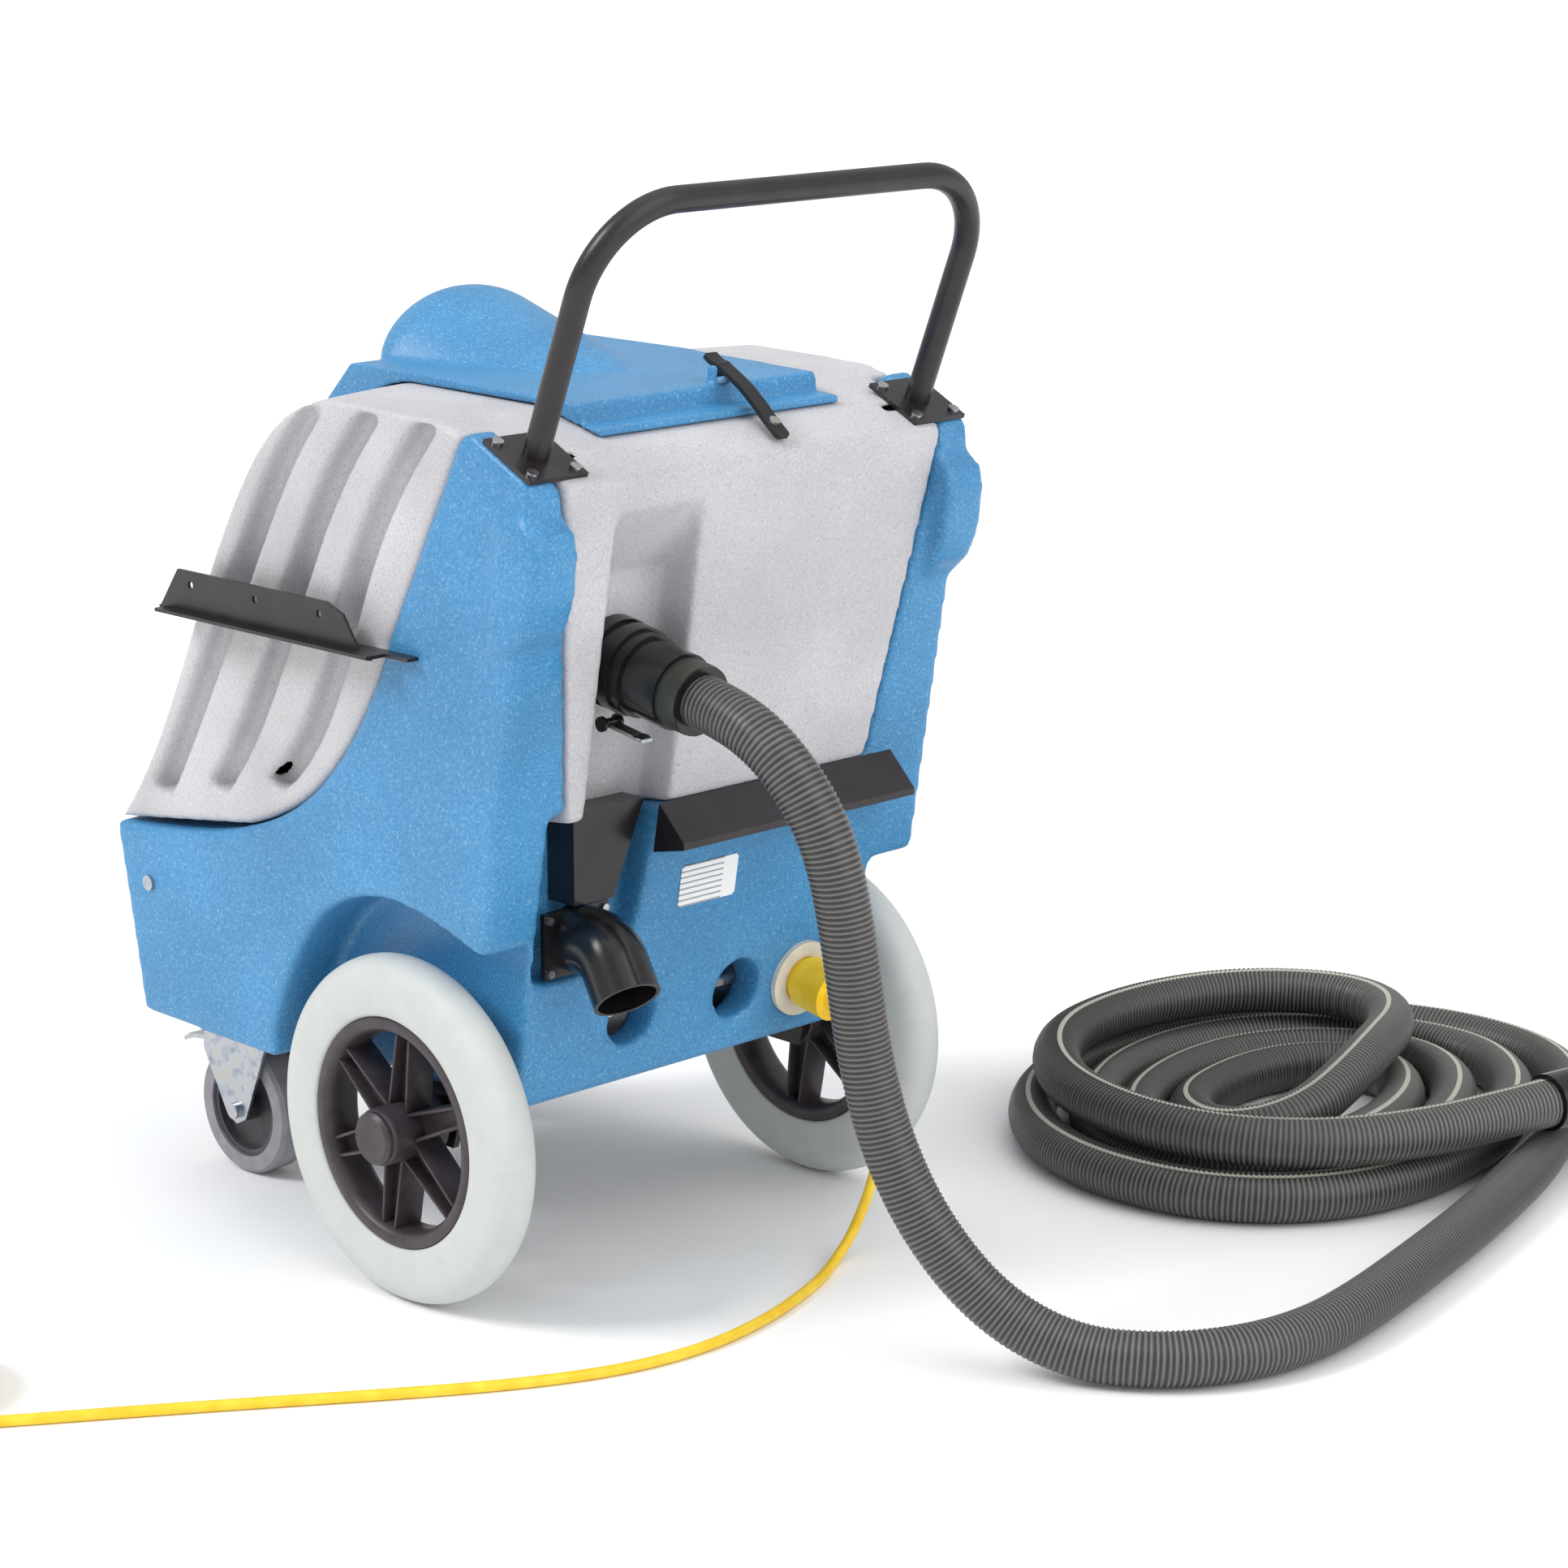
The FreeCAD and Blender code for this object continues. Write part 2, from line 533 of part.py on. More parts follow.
# ------------------------------------------------------------------ rear wheels and axle
wheel_z = "@axle_height"
axle = cylinder("axle", "@axle_radius", "@axle_length")
keep(axle, "rear_axle", x="-@axle_length / 2", y="0", z=wheel_z, turn=pin_turn)
tyre_half, hub_half = size("tyre_width") / 2, size("hub_width") / 2
tyre_r, tyre_in = size("tyre_radius"), size("tyre_inner_radius")
tyre_edge = [(tyre_in, 3), (tyre_in + 4, 0), (tyre_r - 24, 0), (tyre_r - 11, 3), (tyre_r - 3, 10),
             (tyre_r, 18)]
TYRE = [(r, edge - tyre_half) for r, edge in tyre_edge] + \
    [(r, tyre_half - edge) for r, edge in reversed(tyre_edge)]
rim_edge = [(tyre_in, 0), (tyre_in - 12, 0), (tyre_in - 12, 8), (tyre_in - 16, hub_half - 3)]
RIM = [(r, edge - hub_half) for r, edge in rim_edge] + \
    [(r, hub_half - edge) for r, edge in reversed(rim_edge)]
ACROSS = {-1: FreeCAD.Rotation(V(0, 0, 1), 90), 1: FreeCAD.Rotation(V(0, 0, 1), -90)}
boss_r, bush_out, shaft_r = size("boss_radius"), size("axle_radius") + 3, size("axle_radius") + 0.05
boss_out = size("cap_face") - size("wheel_middle") - 6
BOSS_IN, BUSH_SHORT = -26, 8
for side, name in ((-1, "left"), (1, "right")):
    middle = f"{side} * @wheel_middle"
    keep(turned(f"tyre_{name}_body", TYRE), f"tyre_{name}", x=middle, z=wheel_z, turn=ACROSS[side])
    boss = turned(f"boss_{name}", [(bush_out, BOSS_IN), (boss_r, BOSS_IN), (boss_r, boss_out),
                                   (bush_out, boss_out)])
    rim = turned(f"rim_{name}", RIM)
    spokes = []
    for count in range(int(size("spoke_count"))):
        spoke = doc.addObject("Part::Box", f"spoke_{name}_{count}")
        bind(spoke, {"Length": "@spoke_width", "Width": "24", "Height": "@tyre_inner_radius - 30"})
        turn = FreeCAD.Rotation(V(0, 1, 0), 60 * count + 8)
        spoke.Placement = FreeCAD.Placement(turn.multVec(V(-size("spoke_width") / 2, -12, 18)), turn)
        spokes.append(spoke)
    hub = fuse(f"hub_{name}_whole", boss, rim, *spokes)
    keep(hub, f"hub_{name}", x=middle, z=wheel_z, turn=ACROSS[side])
    bush_end = boss_out - BUSH_SHORT
    bush = turned(f"bush_{name}", [(shaft_r, BOSS_IN), (bush_out, BOSS_IN), (bush_out, bush_end),
                                   (shaft_r, bush_end)])
    keep(bush, f"hub_bush_{name}", x=middle, z=wheel_z, turn=ACROSS[side])
    cap_r = size("cap_radius")
    cap = turned(f"cap_{name}", [(0, boss_out - 5), (bush_out, boss_out - 5), (bush_out, boss_out),
                                 (cap_r, boss_out), (cap_r, boss_out + 3), (cap_r - 3, boss_out + 6),
                                 (0, boss_out + 6)])
    keep(cap, f"hub_cap_{name}", x=middle, z=wheel_z, turn=ACROSS[side])
PAN_Z = 173
pan = Part.makeBox(400, 94, 4, V(-200, -34, PAN_Z))
for inner in (-211, 205):
    hanger = lines([(-34, PAN_Z + 4), (-20, 132), (20, 132), (60, PAN_Z + 4)])
    pan = pan.fuse(side_prism(hanger, inner, inner + 6))
    pan = pan.fuse(Part.makeBox(12, 94, 4, V(min(inner, 199), -34, PAN_Z)))
pan = pan.cut(across(size("axle_radius"), -250, 500, 0, size("axle_height")))
shape_part("axle_bracket", pan)

# ------------------------------------------------------------------ swivel casters
rail_top = 182
CASTER_TOP = size("caster_top")
rail = Part.makeBox(370, 96, 3, V(-185, size("caster_front") - 48, CASTER_TOP))
for x in (-185, 182):
    flange = Part.makeBox(3, 96, rail_top - CASTER_TOP, V(x, size("caster_front") - 48, CASTER_TOP))
    rail = rail.fuse(flange)
rail = rail.cut(body)
shape_part("caster_rail", rail)
front, trail, wheel_r = size("caster_front"), size("caster_trail"), size("caster_wheel_radius")
half_tread = size("caster_tread") / 2
for side, name in ((-1, "left"), (1, "right")):
    x = side * size("caster_side")
    plate = Part.makeBox(92, 76, 4, V(x - 46, front - 38, CASTER_TOP - 4))
    plate = plate.fuse(Part.makeCylinder(27, 7, V(x, front, CASTER_TOP - 11)))
    plate = plate.fuse(Part.makeCylinder(7, 26, V(x, front, CASTER_TOP - 30)))
    plate = plate.fuse(Part.makeCylinder(11, 3, V(x, front, CASTER_TOP - 30)))
    shape_part(f"caster_plate_{name}", plate)
    crown_z = CASTER_TOP - 24
    fork = Part.makeCylinder(30, 6, V(x, front, crown_z))
    fork = fork.fuse(Part.makeBox(48, trail + 10, 6, V(x - 24, front, crown_z)))
    race = Part.makeCylinder(30, 6.7, V(x, front, crown_z + 6))
    fork = fork.fuse(race.cut(Part.makeCylinder(27.4, 8, V(x, front, crown_z + 5.5))))
    ear_y, ear_z = front + trail + 40, 120
    for cheek in (x - 24, x + 21):
        fork = fork.fuse(side_prism(lines([(front - 12, crown_z + 6), (front + trail - 14, wheel_r - 6),
                                           (front + trail, wheel_r - 13), (front + trail + 14, wheel_r - 6),
                                           (ear_y + 7, ear_z - 7), (ear_y + 7, ear_z + 9),
                                           (front + trail + 18, crown_z + 6)]), cheek, cheek + 3))
    fork = fork.cut(across(2.5, x - 30, 60, ear_y, ear_z))
    fork = fork.cut(Part.makeCylinder(7.05, 60, V(x, front, crown_z - 20)))
    fork = fork.cut(across(4, x - 40, 80, front + trail, wheel_r))
    shape_part(f"caster_fork_{name}", fork)
    bolt = across(4, x - 27, 54, front + trail, wheel_r)
    bolt = bolt.fuse(across(7.5, x - 29, 5, front + trail, wheel_r))
    bolt = bolt.fuse(across(7.5, x + 24, 6, front + trail, wheel_r))
    wheel_at = {"x": f"{x}", "y": f"@caster_front + @caster_trail", "z": "@caster_wheel_radius"}
    tread = turned(f"tread_{name}", [(46, -half_tread), (wheel_r - 3, -half_tread),
                                     (wheel_r, -half_tread + 4), (wheel_r, half_tread - 4),
                                     (wheel_r - 3, half_tread), (46, half_tread)])
    keep(tread, f"caster_tread_{name}", turn=ACROSS[1], **wheel_at)
    core = turned(f"core_{name}", [(4.05, -18), (12, -18), (12, -5), (40, -5), (40, -14), (46, -14),
                                   (46, 14), (40, 14), (40, 5), (12, 5), (12, 18), (4.05, 18)])
    keep(core, f"caster_core_{name}", turn=ACROSS[1], **wheel_at)
    tongue = lines([(ear_y, ear_z + 1), (ear_y, ear_z + 5), (ear_y + 34, ear_z + 1),
                    (ear_y + 44, ear_z - 5), (ear_y + 42, ear_z - 8), (ear_y + 32, ear_z - 3)])
    pedal = across(5, x - 20.5, 41, ear_y, ear_z).fuse(side_prism(tongue, x - 20, x + 20))
    shape_part(f"brake_pedal_{name}", pedal.cut(across(2.55, x - 30, 60, ear_y, ear_z)))
    pin = across(2.5, x - 24, 48, ear_y, ear_z)
    shape_part(f"caster_bolts_{name}", Part.makeCompound([bolt, pin]))

# ------------------------------------------------------------------ drain
plate = rear_prism([(-190, 432), (-162, 432), (-162, 352), (-112, 352), (-112, 294), (-190, 294)],
                   -108, -88.2)
drain_body = sump.fuse(plate)
drain_bore = Part.makeCylinder(25.5, 60, V(-150, -130, 326), V(0, 1, 0))
drain_body = drain_body.cut(drain_bore).cut(tank)
shape_part("drain_valve_body", max(drain_body.Solids, key=lambda solid: solid.Volume))
ELBOW = [(-150, -108.2, 326), (-150, -152, 326), (-158, -184, 288)]
elbow, _, _ = swept(ELBOW, 29, 42)
elbow_bore, _, _ = swept(ELBOW, 25.5, 42)
flange = Part.makeBox(72, 5, 57, V(-186, -113.2, 295))
elbow = elbow.fuse(flange).cut(elbow_bore)
elbow_holes = [(-181, 300), (-119, 300), (-181, 346), (-119, 346)]
shape_part("drain_elbow", elbow)
case_screws = [Part.makeCylinder(3.5, 3, V(x, -113.2, z), V(0, -1, 0)) for x, z in elbow_holes]

# ------------------------------------------------------------------ back of the machine
SHELF_LEFT, SHELF_RIGHT = -74, 206
leg_foot = 388
SHELF_OUT, SHELF_LIP, SHELF_SKIN = 30, 396, 3
shelf_face = rear_y(432) - SHELF_OUT
shelf = side_prism(lines([(rear_y(432), 432), (shelf_face, SHELF_LIP + 6), (shelf_face, SHELF_LIP),
                          (rear_y(leg_foot), leg_foot)]), SHELF_LEFT, SHELF_RIGHT)
hollow_shelf = lines([(rear_y(428), 428), (shelf_face + SHELF_SKIN, SHELF_LIP + 3),
                      (shelf_face + SHELF_SKIN, 350), (rear_y(428) - SHELF_SKIN, 350)])
shelf = shelf.cut(side_prism(hollow_shelf, SHELF_LEFT + SHELF_SKIN, SHELF_RIGHT - SHELF_SKIN))
shape_part("support_shelf", shelf)
inlet_y = rear_y(INLET[1])
inlet_at = V(INLET[0], inlet_y, INLET[1])


def on_inlet(distance):
    """A point on the power inlet's axis, a distance out from the machine's back."""
    return inlet_at + OUT * distance


bezel = Part.makeCylinder(35, 5, on_inlet(0), OUT).fuse(Part.makeCylinder(26, 40, on_inlet(-40), OUT))
bezel = bezel.cut(Part.makeCylinder(21, 60, on_inlet(-30), OUT))
blades = Part.makeCylinder(20.9, 4, on_inlet(-30), OUT)
for turn in (90, 210, 330):
    offset = V(9 * math.cos(math.radians(turn)), 0, 9 * math.sin(math.radians(turn)))
    blades = blades.fuse(Part.makeCylinder(2, 22, on_inlet(-28) + offset, OUT))
shape_part("power_inlet", Part.makeCompound([bezel, blades]))

# ------------------------------------------------------------------ accessory bracket
FLANGE_Z, SHEET = 567, 3
flange_in, flange_out = -HALF - 0.1, -284.5
bracket = Part.makeBox(flange_in - flange_out, 320, SHEET, V(flange_out, -40, FLANGE_Z))
bracket = bracket.cut(Part.makeBox(20, 50, 20, V(flange_out - 1, -60, FLANGE_Z - 5)))
leg = Part.makeBox(SHEET, 240, 12, V(flange_in - SHEET, 20, FLANGE_Z - 9))
web = side_prism(lines([(14, FLANGE_Z), (290, FLANGE_Z), (262, FLANGE_Z + 38), (58, FLANGE_Z + 38),
                        (36, FLANGE_Z + 30)]), -272, -269)
bracket = bracket.fuse(leg).fuse(web)
bracket = bracket.fuse(Part.makeBox(6, 10, SHEET, V(-272, 280, FLANGE_Z)))
for y in (67, 154, 244):
    bracket = bracket.cut(across(3.5, -300, 60, y, FLANGE_Z + 26))
shape_part("accessory_bracket", bracket)
for y in (24, 36):
    case_screws.append(across(3, flange_in - SHEET - 3, 3, y, FLANGE_Z - 5))
case_screws += [across(7, -HALF - 3, 3, 345, 305), across(7, HALF, 3, 345, 305)]
shape_part("case_screws", Part.makeCompound(case_screws))

# ------------------------------------------------------------------ hose latch
lever = Part.makeCylinder(4, 14, lever_pivot + V(-7, 0, 0), ACROSS_X)
blade = Part.makeBox(12, 3, 46, V(-6, -1.5, 0))
blade.Placement = FreeCAD.Placement(lever_pivot, FreeCAD.Rotation(V(0, 0, 1), OUT))
lever = lever.fuse(blade).cut(Part.makeCylinder(1.55, 20, lever_pivot + V(-10, 0, 0), ACROSS_X))
shape_part("hose_latch_lever", lever)

# ------------------------------------------------------------------ inside the bay
bottom_pan = Part.makeBox(2 * BAY_HALF - 1, 286, 3, V(-BAY_HALF + 0.5, 64, 183))
shape_part("motor_deck", bottom_pan)
motors = []
for x in (-92, 92):
    motor = Part.makeCylinder(72, 60, V(x, 150, 186.05))
    motors.append(motor.fuse(Part.makeCylinder(48, 66, V(x, 150, 246))))
shape_part("vacuum_motors", Part.makeCompound(motors))
pump = Part.makeBox(150, 62, 70, V(-75, 250, 186.05)).fuse(across(30, -120, 50, 281, 221))
shape_part("solution_pump", pump)
CAGE_Y, CAGE_FOOT, CAGE_TOP = 60, 600, 690
cage = Part.makeCylinder(30, CAGE_TOP - CAGE_FOOT, V(0, CAGE_Y, CAGE_FOOT))
cage = cage.cut(Part.makeCylinder(26, 100, V(0, CAGE_Y, CAGE_FOOT + 3)))
cage = cage.cut(Part.makeCylinder(12, 20, V(0, CAGE_Y, CAGE_FOOT - 5)))
for turn in range(0, 180, 60):
    window = Part.makeBox(70, 14, 60, V(-35, -7, CAGE_FOOT + 12))
    window.rotate(V(0, 0, 0), V(0, 0, 1), turn)
    cage = cage.cut(window.translated(V(0, CAGE_Y, 0)))
pipe_foot = floor_z(CAGE_Y) + WALL + 4
pipe = Part.makeCylinder(24, CAGE_FOOT - pipe_foot, V(0, CAGE_Y, pipe_foot))
pipe = pipe.cut(Part.makeCylinder(20, 400, V(0, CAGE_Y, 380)))
shape_part("vacuum_standpipe", pipe.fuse(cage))
shape_part("float_ball", Part.makeSphere(19, V(0, CAGE_Y, CAGE_FOOT + 18.2)))

# ------------------------------------------------------------------ controls on the front
FRONT_LEAN = FreeCAD.Rotation(V(1, 0, 0), -11)
panel_at = V(0, 404, 240)


def on_front(across_x, up, out=0):
    """A point on the front face: across, up its slope, and out from it."""
    return panel_at + FRONT_LEAN.multVec(V(across_x, out, up))


def front_box(length, depth, height, x, up, out):
    """A block square to the front face, centred on x and up, its back at out."""
    block = Part.makeBox(length, depth, height, V(-length / 2, 0, -height / 2))
    block.Placement = FreeCAD.Placement(on_front(x, up, out), FRONT_LEAN)
    return block


panel = front_box(170, 10, 62, 0, 30, 0)
switch_names = ("vacuum_one", "vacuum_two", "pump")
for count, name in enumerate(switch_names):
    x = (count - 1) * 46
    panel = panel.cut(front_box(23, 30, 30, x, 30, -5))
    rocker_pin = on_front(x, 30, 4)
    rocker = front_box(22, 7, 28, x, 30, 4.5)
    shape_part(f"switch_{name}", rocker.fuse(Part.makeCylinder(4, 22, rocker_pin + V(-11, 0, 0), ACROSS_X)))
panel = panel.cut(body)
shape_part("switch_panel", panel)
outlet_at = on_front(120, -10, -2)
outlet_axis = FRONT_LEAN.multVec(V(0, 1, 0))
outlet = Part.makeCylinder(16, 8, outlet_at, outlet_axis)
outlet = outlet.fuse(Part.makeCylinder(9, 22, outlet_at, outlet_axis))
outlet = outlet.cut(Part.makeCylinder(5, 60, outlet_at, outlet_axis)).cut(body)
shape_part("solution_outlet", outlet)

# ------------------------------------------------------------------ vacuum hose
HOSE_START = along_coupler(COUPLER_END)
HOSE_ROUTE = [tuple(HOSE_START), (-112, -267, 533), (-107, -307, 510), (-98, -336, 474), (-88, -354, 428),
              (-77, -362, 350), (-67, -367, 264), (-56, -384, 184), (-39, -418, 112), (-14, -466, 54),
              (16, -526, 25), (56, -584, 23.5), (116, -622, 23.5), (190, -634, 23.5), (270, -624, 23.5),
              (376, -600, 23.5), (488, -572, 23.5), (598, -540, 23.5), (690, -508, 23.5), (760, -474, 23.5)]
hose_r = size("hose_radius")
hose, hose_length, hose_radii = swept(HOSE_ROUTE, hose_r)
shape_part("vacuum_hose", hose)
COIL_AT, COIL_HALF = (672, -238), (312, 258)
COIL_HOLE = (64, 46)


def oval(half_x, half_y, height):
    """An upright oval column on the coil's middle."""
    rim = Part.Ellipse(V(*COIL_AT, 0), half_x, half_y).toShape()
    return Part.Face(Part.Wire(rim)).extrude(V(0, 0, height))


coil = oval(*COIL_HALF, 4 * hose_r).cut(oval(*COIL_HOLE, 5 * hose_r))
shape_part("hose_coil", coil)
cuff_from, cuff_to = V(698, -508, 76), V(800, -526, 76)
cuff = Part.makeCylinder(27, (cuff_to - cuff_from).Length, cuff_from, cuff_to - cuff_from)
cuff = cuff.cut(Part.makeCylinder(22, 70, cuff_to, cuff_from - cuff_to))
shape_part("hose_end_cuff", cuff)

# ------------------------------------------------------------------ mains lead
LEAD_OUT = 70
connector = Part.makeCylinder(20, 66, on_inlet(-22), OUT)
connector = connector.fuse(Part.makeCylinder(24, 34, on_inlet(12), OUT))
connector = connector.fuse(Part.makeCone(15, 6.5, LEAD_OUT - 46, on_inlet(46), OUT)).cut(blades)
shape_part("lead_connector", connector)
LEAD_ROUTE = [tuple(on_inlet(LEAD_OUT)), (126.5, -190, 213), (125, -206, 196), (122, -213, 168),
              (119, -214, 136), (117, -211, 104), (114, -205, 72), (108, -198, 42), (95, -194, 16),
              (70, -201, 4.75), (34, -222, 4.75), (-10, -240, 4.75), (-66, -258, 4.75), (-144, -270, 4.75),
              (-226, -260, 4.75), (-308, -224, 4.75), (-396, -168, 4.75), (-484, -106, 4.75),
              (-566, -50, 4.75), (-630, -8, 4.75), (-684, 29, 4.75), (-736, 63, 4.75)]
lead_r = size("lead_radius")
lead, lead_length, lead_radii = swept(LEAD_ROUTE, lead_r)
shape_part("power_lead", lead)
LEAD_COIL = V(-691, 131, 0)
lead_coil = Part.makeCylinder(87, 39, LEAD_COIL).cut(Part.makeCylinder(38.4, 60, LEAD_COIL))
shape_part("lead_coil", lead_coil)
plug_from = LEAD_COIL + V(-34, 40, 55)
plug = Part.makeCylinder(16, 45, plug_from, V(1, 0, 0))
plug = plug.fuse(Part.makeCone(14, 6, 26, plug_from, V(-1, 0, 0)))
for y, z in ((-6, 0), (6, 0), (0, 8)):
    plug = plug.fuse(Part.makeCylinder(2.2, 18, plug_from + V(45, y, z), V(1, 0, 0)))
shape_part("lead_plug", plug)
for label, bar, radius, length, radii in (("hose", hose, hose_r, hose_length, hose_radii),
                                          ("lead", lead, lead_r, lead_length, lead_radii)):
    print(label, "path", round(length), "mm, volume over section times length",
          round(bar.Volume / (math.pi * radius ** 2 * length), 4), "radii in diameters",
          [round(r / radius / 2, 1) for r in radii])

# ------------------------------------------------------------------ seats and bores cut last in the shells
for side in (-1, 1):
    seat = Part.makeBox(90, 90, 60, V(-45, -45, 0))
    seat.Placement = FreeCAD.Placement(on_plate(side, 0, 0), FreeCAD.Rotation(V(1, 0, 0), PLATE_TILT))
    tank = tank.cut(seat)
shape_part("recovery_tank", tank)
body = body.cut(Part.makeCylinder(26, 60, on_inlet(-45), OUT))
shape_part("solution_tank", body)

# ------------------------------------------------------------------ check and export
doc.recompute()
for item in doc.Objects:
    if "Invalid" in item.State or "Error" in item.State:
        raise RuntimeError(f"{item.Label} failed: {item.State}")
os.makedirs("parts", exist_ok=True)
for item in SUB_PARTS:
    if item.Shape.isNull() or not item.Shape.isValid():
        raise RuntimeError(f"{item.Label} has no valid shape")
    item.Shape.exportStep(f"parts/{item.Label}.step")
print(len(SUB_PARTS), "sub-parts written")
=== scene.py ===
# %% [markdown]
# # Carpet cleaner machine
# A walk-behind box extractor: two moulded tanks, one lying in the other, on two big wheels and two
# casters, with a bent tube handle, a vacuum hose and a yellow mains lead.  The engineering model is
# loaded first and stays as it is: every piece made here takes its place from it, in metres, with
# +Z up, +Y the way the machine rolls and +X its right.

# %% Load the engineering model
import math

import bmesh
import bpy
import numpy as np
from mathutils import Matrix, Vector
from mathutils.bvhtree import BVHTree


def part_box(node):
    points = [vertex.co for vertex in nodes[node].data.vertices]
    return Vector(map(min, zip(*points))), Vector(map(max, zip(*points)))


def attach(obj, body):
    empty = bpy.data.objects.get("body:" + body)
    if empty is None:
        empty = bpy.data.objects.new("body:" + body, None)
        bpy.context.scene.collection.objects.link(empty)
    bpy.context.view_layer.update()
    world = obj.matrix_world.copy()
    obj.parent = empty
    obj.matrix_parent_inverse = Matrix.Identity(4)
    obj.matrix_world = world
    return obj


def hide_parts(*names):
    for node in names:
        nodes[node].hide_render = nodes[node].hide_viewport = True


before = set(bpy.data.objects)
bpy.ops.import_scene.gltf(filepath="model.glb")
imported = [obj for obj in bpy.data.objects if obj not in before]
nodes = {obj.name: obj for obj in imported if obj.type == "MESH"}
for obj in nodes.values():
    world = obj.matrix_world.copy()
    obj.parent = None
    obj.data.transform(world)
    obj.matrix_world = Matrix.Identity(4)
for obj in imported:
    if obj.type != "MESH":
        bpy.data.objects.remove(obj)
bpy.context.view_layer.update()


# %% [markdown]
# Every finish starts from a real material, so the colours are written as the hex values that a paint
# card would give.  A shader wants linear light, and one function does that change.  Another adds a
# node, sets its values and wires it up, so a finish reads as a short list.

# %% Colour and node helpers
def linear(hex_code, alpha=1.0):
    """A colour card's sRGB hex value as linear RGBA."""
    parts = [int(hex_code[i:i + 2], 16) / 255 for i in (1, 3, 5)]
    return [p / 12.92 if p <= 0.04045 else ((p + 0.055) / 1.055) ** 2.4 for p in parts] + [alpha]


def add_node(tree, kind, settings=None, values=None, links=None):
    """One node, with its own settings, its sockets' values, and links from other sockets."""
    node = tree.nodes.new(kind)
    for name, value in (settings or {}).items():
        setattr(node, name, value)
    for name, value in (values or {}).items():
        node.inputs[name].default_value = value
    for name, socket in (links or {}).items():
        tree.links.new(socket, node.inputs[name])
    return node


def new_material(name, **shader_values):
    """A material with one Principled shader, its plain values set on the shader's own sockets."""
    material = bpy.data.materials.new(name)
    material.use_nodes = True
    shader = material.node_tree.nodes["Principled BSDF"]
    for socket, value in shader_values.items():
        shader.inputs[socket.replace("_", " ")].default_value = value
    return material, material.node_tree, shader


def ramp(tree, factor, stops):
    """A colour ramp through (position, hex) stops."""
    node = add_node(tree, "ShaderNodeValToRGB", links={"Fac": factor})
    while len(node.color_ramp.elements) < len(stops):
        node.color_ramp.elements.new(0.5)
    for element, (place, hex_code) in zip(node.color_ramp.elements, stops):
        element.position = place
        element.color = linear(hex_code)
    return node


def bump(tree, shader, height, strength, distance):
    """Fine relief on a shader from a height."""
    node = add_node(tree, "ShaderNodeBump", values={"Strength": strength, "Distance": distance},
                    links={"Height": height})
    tree.links.new(node.outputs["Normal"], shader.inputs["Normal"])


def noise(tree, coordinates, size_mm, detail=2.0, roughness=0.5):
    """Noise whose grain is about size_mm across."""
    return add_node(tree, "ShaderNodeTexNoise",
                    values={"Scale": 1000 / size_mm, "Detail": detail, "Roughness": roughness},
                    links={"Vector": coordinates}).outputs["Fac"]


def place_of(tree):
    """Coordinates fixed to the piece, in metres."""
    return add_node(tree, "ShaderNodeTexCoord").outputs["Object"]


# %% [markdown]
# The tanks and the lid are rotationally moulded polyethylene.  The powder is ground from two or
# three shades, so the wall shows grains about 2 mm across, lighter and darker than the body colour,
# and its skin is a low orange peel with a soft, wide highlight.

# %% Speckled polyethylene
def speckled(name, dark, body, light, rough):
    material, tree, shader = new_material(name, Roughness=rough, IOR=1.5)
    shader.inputs["Subsurface Weight"].default_value = 0.0
    at = place_of(tree)
    grain = ramp(tree, noise(tree, at, 2.2, 3.0, 0.6),
                 [(0.3, dark), (0.47, body), (0.56, body), (0.72, light)])
    drift = ramp(tree, noise(tree, at, 120, 2.0), [(0.3, "#E9E9E9"), (0.7, "#FFFFFF")])
    tint = add_node(tree, "ShaderNodeMix", {"data_type": "RGBA", "blend_type": "MULTIPLY"})
    tint.inputs["Factor"].default_value = 1.0
    tree.links.new(grain.outputs["Color"], tint.inputs[6])
    tree.links.new(drift.outputs["Color"], tint.inputs[7])
    tree.links.new(tint.outputs[2], shader.inputs["Base Color"])
    bump(tree, shader, noise(tree, at, 3.5, 2.0), 0.25, 0.0006)
    return material


blue_poly = speckled("blue rotomoulded polyethylene", "#2F7BB4", "#4590C4", "#7FB9DF", 0.4)
grey_poly = speckled("grey rotomoulded polyethylene", "#B3B2B6", "#CAC9CD", "#DCDBDF", 0.5)


# %% [markdown]
# Steel parts are either powder coated, a thick satin skin with a fine pebble, or bright zinc plated,
# which keeps the sheet's own scratches and turns slightly blue and yellow in patches.

# %% Coated and plated steel
powder_coat, tree, shader = new_material("black powder coat", Roughness=0.33, IOR=1.5)
at = place_of(tree)
shade = ramp(tree, noise(tree, at, 30, 3.0), [(0.3, "#1C181B"), (0.7, "#272225")])
tree.links.new(shade.outputs["Color"], shader.inputs["Base Color"])
bump(tree, shader, noise(tree, at, 1.2, 2.0), 0.3, 0.0003)

zinc, tree, shader = new_material("bright zinc plate", Metallic=1.0, Roughness=0.28)
at = place_of(tree)
patch = ramp(tree, noise(tree, at, 14, 3.0, 0.6), [(0.3, "#8F97A4"), (0.5, "#B9BDC4"), (0.7, "#BDB8AA")])
tree.links.new(patch.outputs["Color"], shader.inputs["Base Color"])
brushed = add_node(tree, "ShaderNodeMapping", values={"Scale": (40, 1200, 1200)}, links={"Vector": at})
scratch = add_node(tree, "ShaderNodeTexNoise", values={"Scale": 1.0, "Detail": 2.0},
                   links={"Vector": brushed.outputs["Vector"]})
bump(tree, shader, scratch.outputs["Fac"], 0.15, 0.0002)


